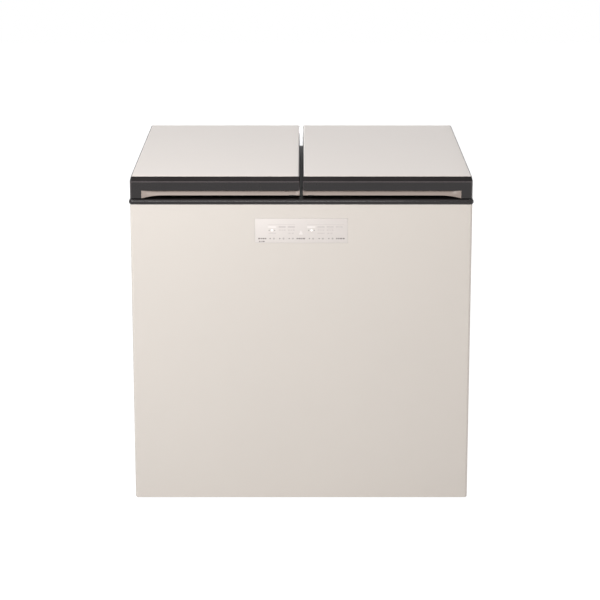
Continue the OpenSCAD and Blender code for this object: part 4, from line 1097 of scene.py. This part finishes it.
def gasket(side, name):
    """Hollow rubber seal: a foot held by the plate, a waist, and a soft lip with two ridges"""
    lip = [(6.6, 0.25), (6.3, 0.0), (4.6, 0.0), (3.9, 0.5), (2.6, 0.5), (1.9, 0.1), (0.7, 0.1)]
    foot = [(4.4, 5.2), (3.0, 4.3), (2.3, 3.7), (3.2, 3.2), (5.9, 2.7), (6.8, 2.0), (7.0, 1.0)]
    rise = (liner_foot - gasket_foot) / foot[0][1]
    right = foot + lip
    radii = (tank_r - gasket_off - gasket_w,) * 4
    rings = []
    for u, z in right + [(-u, z) for u, z in right[::-1]]:
        out = gasket_off + gasket_w / 2 + u * MM
        rings.append(level(outline(*tank_mouth(side), radii, -out), gasket_foot + z * rise))
    return build(name, loft(rings, tube=True), gasket_skin)


arm_t = 3 * MM
arm_screw_in = 9 * MM
arm_screw_rise = 22 * MM


def arm_screws(node):
    """Flat-set screws that hold the arms' plates to the lid's frame"""
    return join([screw_face(x, back_y + arm_t, z) for low, high in islands(node)
                 for x in (low[0] + arm_screw_in, high[0] - arm_screw_in)
                 for z in (low[2] + arm_screw_in, low[2] + arm_screw_in + arm_screw_rise)])


for label, side in both_sides.items():
    body = f"lid_{label}"
    place(lid_frame(side, f"{body}_surround"), body, "frame_plastic", f"{body}_frame")
    place(lid_panel(side, f"{body}_top"), body, "lid_skin", f"{body}_panel")
    place(lid_grip(side, f"{body}_finger_grip"), body, "grip_plastic", f"{body}_grip")
    place(lid_liner(side, f"{body}_inner_plate"), body, "liner_plastic", f"{body}_liner")
    place(gasket(side, f"{body}_seal"), body, "gasket_rubber", f"{body}_gasket")
    screws = build(f"{body}_arm_screws", arm_screws(f"{body}_hinge_arms"), pin_steel)
    place(screws, body, "lid_arm_steel")
    dress(foam, f"{body}_foam")
    dress(arm_steel, f"{body}_hinge_arms", rounding=0.6 * MM, segments=3)
    dress(pin_steel, f"{body}_hinge_pins", rounding=0.4 * MM)

# ---- Feet and casters ----
# Two rubber pads in front carry threaded stems, which screw into sockets in the base pan.
# Two plastic wheels at the back run on steel axles in pressed housings.

dress(zinc_sheet, "foot_sockets", "caster_housings", rounding=0.4 * MM)
dress(pin_steel, "caster_axles", "fan_shaft", rounding=0.2 * MM)
dress(black_rubber, "foot_left_pad", "foot_right_pad", rounding=0.8 * MM, segments=3)

thread_pitch = 1.5 * MM
thread_deep = 0.85 * MM
stem_r = 5 * MM
hex_r = 9 * MM
hex_low = 5.5 * MM
stem_sides = 24
rings_per_turn = 8
run_out = 0.4


def stem(node, name):
    """Threaded stem with its hexagon, on the pad's pin"""
    low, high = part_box(node)
    cx, cy = middle(low, high)[:2]
    hex_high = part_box("base_pan")[0][2] - 0.5 * MM
    rings = []
    count = int((high[2] - hex_high) / (thread_pitch / rings_per_turn))
    for k in range(count + 1):
        z = hex_high + (high[2] - hex_high) * k / count
        fade = min(1, (count - k) / rings_per_turn)
        ring = []
        for i, (x, y) in enumerate(circle(1, stem_sides)):
            phase = (z / thread_pitch - i / stem_sides) % 1
            r = stem_r - thread_deep * abs(2 * phase - 1) * (run_out + (1 - run_out) * fade)
            ring.append((cx + r * x, cy + r * y, z))
        rings.append(ring)
    pin = rod((cx, cy, low[2]), (cx, cy, hex_low + 0.2 * MM), stem_r - 1 * MM)
    nut = loft([[(cx + x, cy + y, z) for x, y in circle(hex_r, 6)] for z in (hex_low, hex_high)])
    piece = build(name, join([loft(rings), pin, nut]), pin_steel)
    soften(piece, 0.3 * MM, angle=50)
    return piece


wheel_plastic = finish("wheel plastic", (46, 46, 47), 0.55, shade=0.85, drift=25.0,
                       grain=(900, 0.04), edge=(66, 66, 66))

groove_x = (-4 * MM, 0, 4 * MM)
groove_deep = 0.5 * MM
dish = 2.4 * MM
tyre_t = 4 * MM
web_ribs = 6
rib_in = 1.5 * MM
rib_half_w = 0.8 * MM
rib_half_h = 1.1 * MM


def wheel(node, name):
    """Tyre with three shallow grooves, a ribbed web, and a hub round the axle"""
    low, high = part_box(node)
    cx, cy, cz = middle(low, high)
    half, r = (high[0] - low[0]) / 2, (high[2] - low[2]) / 2
    axle_low, axle_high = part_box("caster_axles")
    bore = (axle_high[2] - axle_low[2]) / 2 + 0.05 * MM
    face = [(bore, -half), (bore + 2.6 * MM, -half), (bore + 3 * MM, -half + dish),
            (r - 4.4 * MM, -half + dish), (r - tyre_t, -half), (r - 1.2 * MM, -half),
            (r - 0.3 * MM, -half + 0.5 * MM), (r, -half + 1.6 * MM)]
    section = list(face)
    for x in groove_x:
        section += [(r, x - 0.9 * MM), (r - groove_deep, x - 0.5 * MM),
                    (r - groove_deep, x + 0.5 * MM), (r, x + 0.9 * MM)]
    section += [(q, -x) for q, x in reversed(face)]
    parts = [loft([[(cx + x, cy + u, cz + v) for u, v in circle(q, 48)] for q, x in section],
                  tube=True)]
    for u, v in circle(1, web_ribs):
        out = Vector((0, u, v))
        across = Vector((0, -v, u)) * rib_half_w
        for end in (-1, 1):
            web = Vector((cx + end * (half - rib_in), cy, cz))
            tall = Vector((end * rib_half_h, 0, 0))
            parts.append(loft([
                [p - across - tall, p + across - tall, p + across + tall, p - across + tall]
                for p in (web + out * (bore + dish), web + out * (r - tyre_t))]))
    piece = build(name, join(parts), wheel_plastic)
    soften(piece, 0.25 * MM, angle=40)
    return piece


for label in both_sides:
    foot = f"foot_{label}"
    place(stem(f"{foot}_stem", f"{foot}_screw_rod"), f"{foot}_screw", "pin_steel", f"{foot}_stem")
    node = f"wheel_{label}"
    place(wheel(node, f"caster_{node}"), node, "black_plastic", node)

# ---- Studio ----
# A pale floor in a white surround. A square and a long soft lamp stand high on the left, weaker
# ones on the right, above and behind. The camera is in front, looking slightly down.


def show_white(tree, shader, share, strength=1.0):
    """Lets camera, glossy and transmission rays see white in place of a shader"""
    path = add(tree, "LightPath")
    seen = path.outputs["Is Camera Ray"]
    for label in ("Is Glossy Ray", "Is Transmission Ray"):
        seen = maths(tree, "MAXIMUM", seen, path.outputs[label])
    white = add(tree, "Emission", {"Strength": strength}).outputs[0]
    return add(tree, "MixShader", {0: maths(tree, "MULTIPLY", seen, share), 1: shader,
                                   2: white}).outputs[0]


world = bpy.data.worlds.new("surround")
bpy.context.scene.world = world
world.use_nodes = True
sky = world.node_tree
ambient = sky.nodes["Background"]
feed(sky, ambient, {"Color": (1, 1, 1, 1), "Strength": 0.36})
feed(sky, sky.nodes["World Output"], {"Surface": show_white(sky, ambient.outputs[0], 1.0)})

floor_half = 9.0
floor_grey = 0.62
floor_material = bpy.data.materials.new("studio floor")
floor_material.use_nodes = True
floor_tree = floor_material.node_tree
floor_skin = floor_tree.nodes["Principled BSDF"]
feed(floor_tree, floor_skin, {"Base Color": (floor_grey, floor_grey, floor_grey, 1),
                              "Roughness": 0.9, "Specular IOR Level": 0.0})
feed(floor_tree, floor_tree.nodes["Material Output"],
     {"Surface": show_white(floor_tree, floor_skin.outputs[0], 0.6, 1.57)})
floor_plan = [(x * floor_half, y * floor_half) for x, y in ((-1, -1), (1, -1), (1, 1), (-1, 1))]
floor = build("studio_floor", (level(floor_plan, 0), [[0, 1, 2, 3]]), floor_material,
              outward=False)


def soft_lamp(name, place_at, aim, size, power, colour=(1, 1, 1)):
    data = bpy.data.lights.new(name, "AREA")
    data.shape = "RECTANGLE"
    data.size, data.size_y = size
    data.energy = power
    data.color = colour
    lamp = bpy.data.objects.new(name, data)
    lamp.location = place_at
    aim_way = Vector(aim) - Vector(place_at)
    lamp.rotation_euler = aim_way.to_track_quat("-Z", "Y").to_euler()
    bpy.context.scene.collection.objects.link(lamp)


soft_lamp("key_left", (-1.6, -2.4, 2.4), (-0.2, -0.3, 0.8), (1.5, 1.5), 55, (0.96, 0.99, 1.0))
soft_lamp("key_front", (-0.7, -2.9, 2.45), (-0.1, -0.4, 0.85), (2.3, 0.4), 36, (1, 0.985, 0.96))
soft_lamp("fill_right", (3.0, -3.2, 1.4), (0.1, 0, 0.5), (2.2, 2.2), 5.2, (1.0, 0.82, 0.62))
soft_lamp("top_left", (-0.6, 0.2, 3.0), (-0.2, 0, 0.9), (1.8, 1.8), 8)
soft_lamp("side_right", (3.6, 0.3, 0.45), (0.4, 0, 0.45), (2.0, 0.8), 24)
soft_lamp("back_fill", (0, 4.0, 0.6), (0, 0.4, 0.5), (1.6, 1.0), 20)

focal_px = 2017.0
frame_px = 600.0
camera_pitch = 13.26
camera_back = 5.291
camera_height = 1.987
axis_row_px = 240.0
centre_column_px = 301.3
camera_data = bpy.data.cameras.new("photo_camera")
camera_data.sensor_width = 36.0
camera_data.lens = focal_px / frame_px * camera_data.sensor_width
camera_data.shift_y = (axis_row_px - frame_px / 2) / frame_px
camera_data.shift_x = (frame_px / 2 - centre_column_px) / frame_px
camera = bpy.data.objects.new("photo_camera", camera_data)
camera.location = (0, front_y - camera_back, camera_height)
camera.rotation_euler = (math.radians(90 - camera_pitch), 0, 0)
bpy.context.scene.collection.objects.link(camera)
bpy.context.scene.camera = camera

bpy.context.scene.view_settings.view_transform = "Standard"
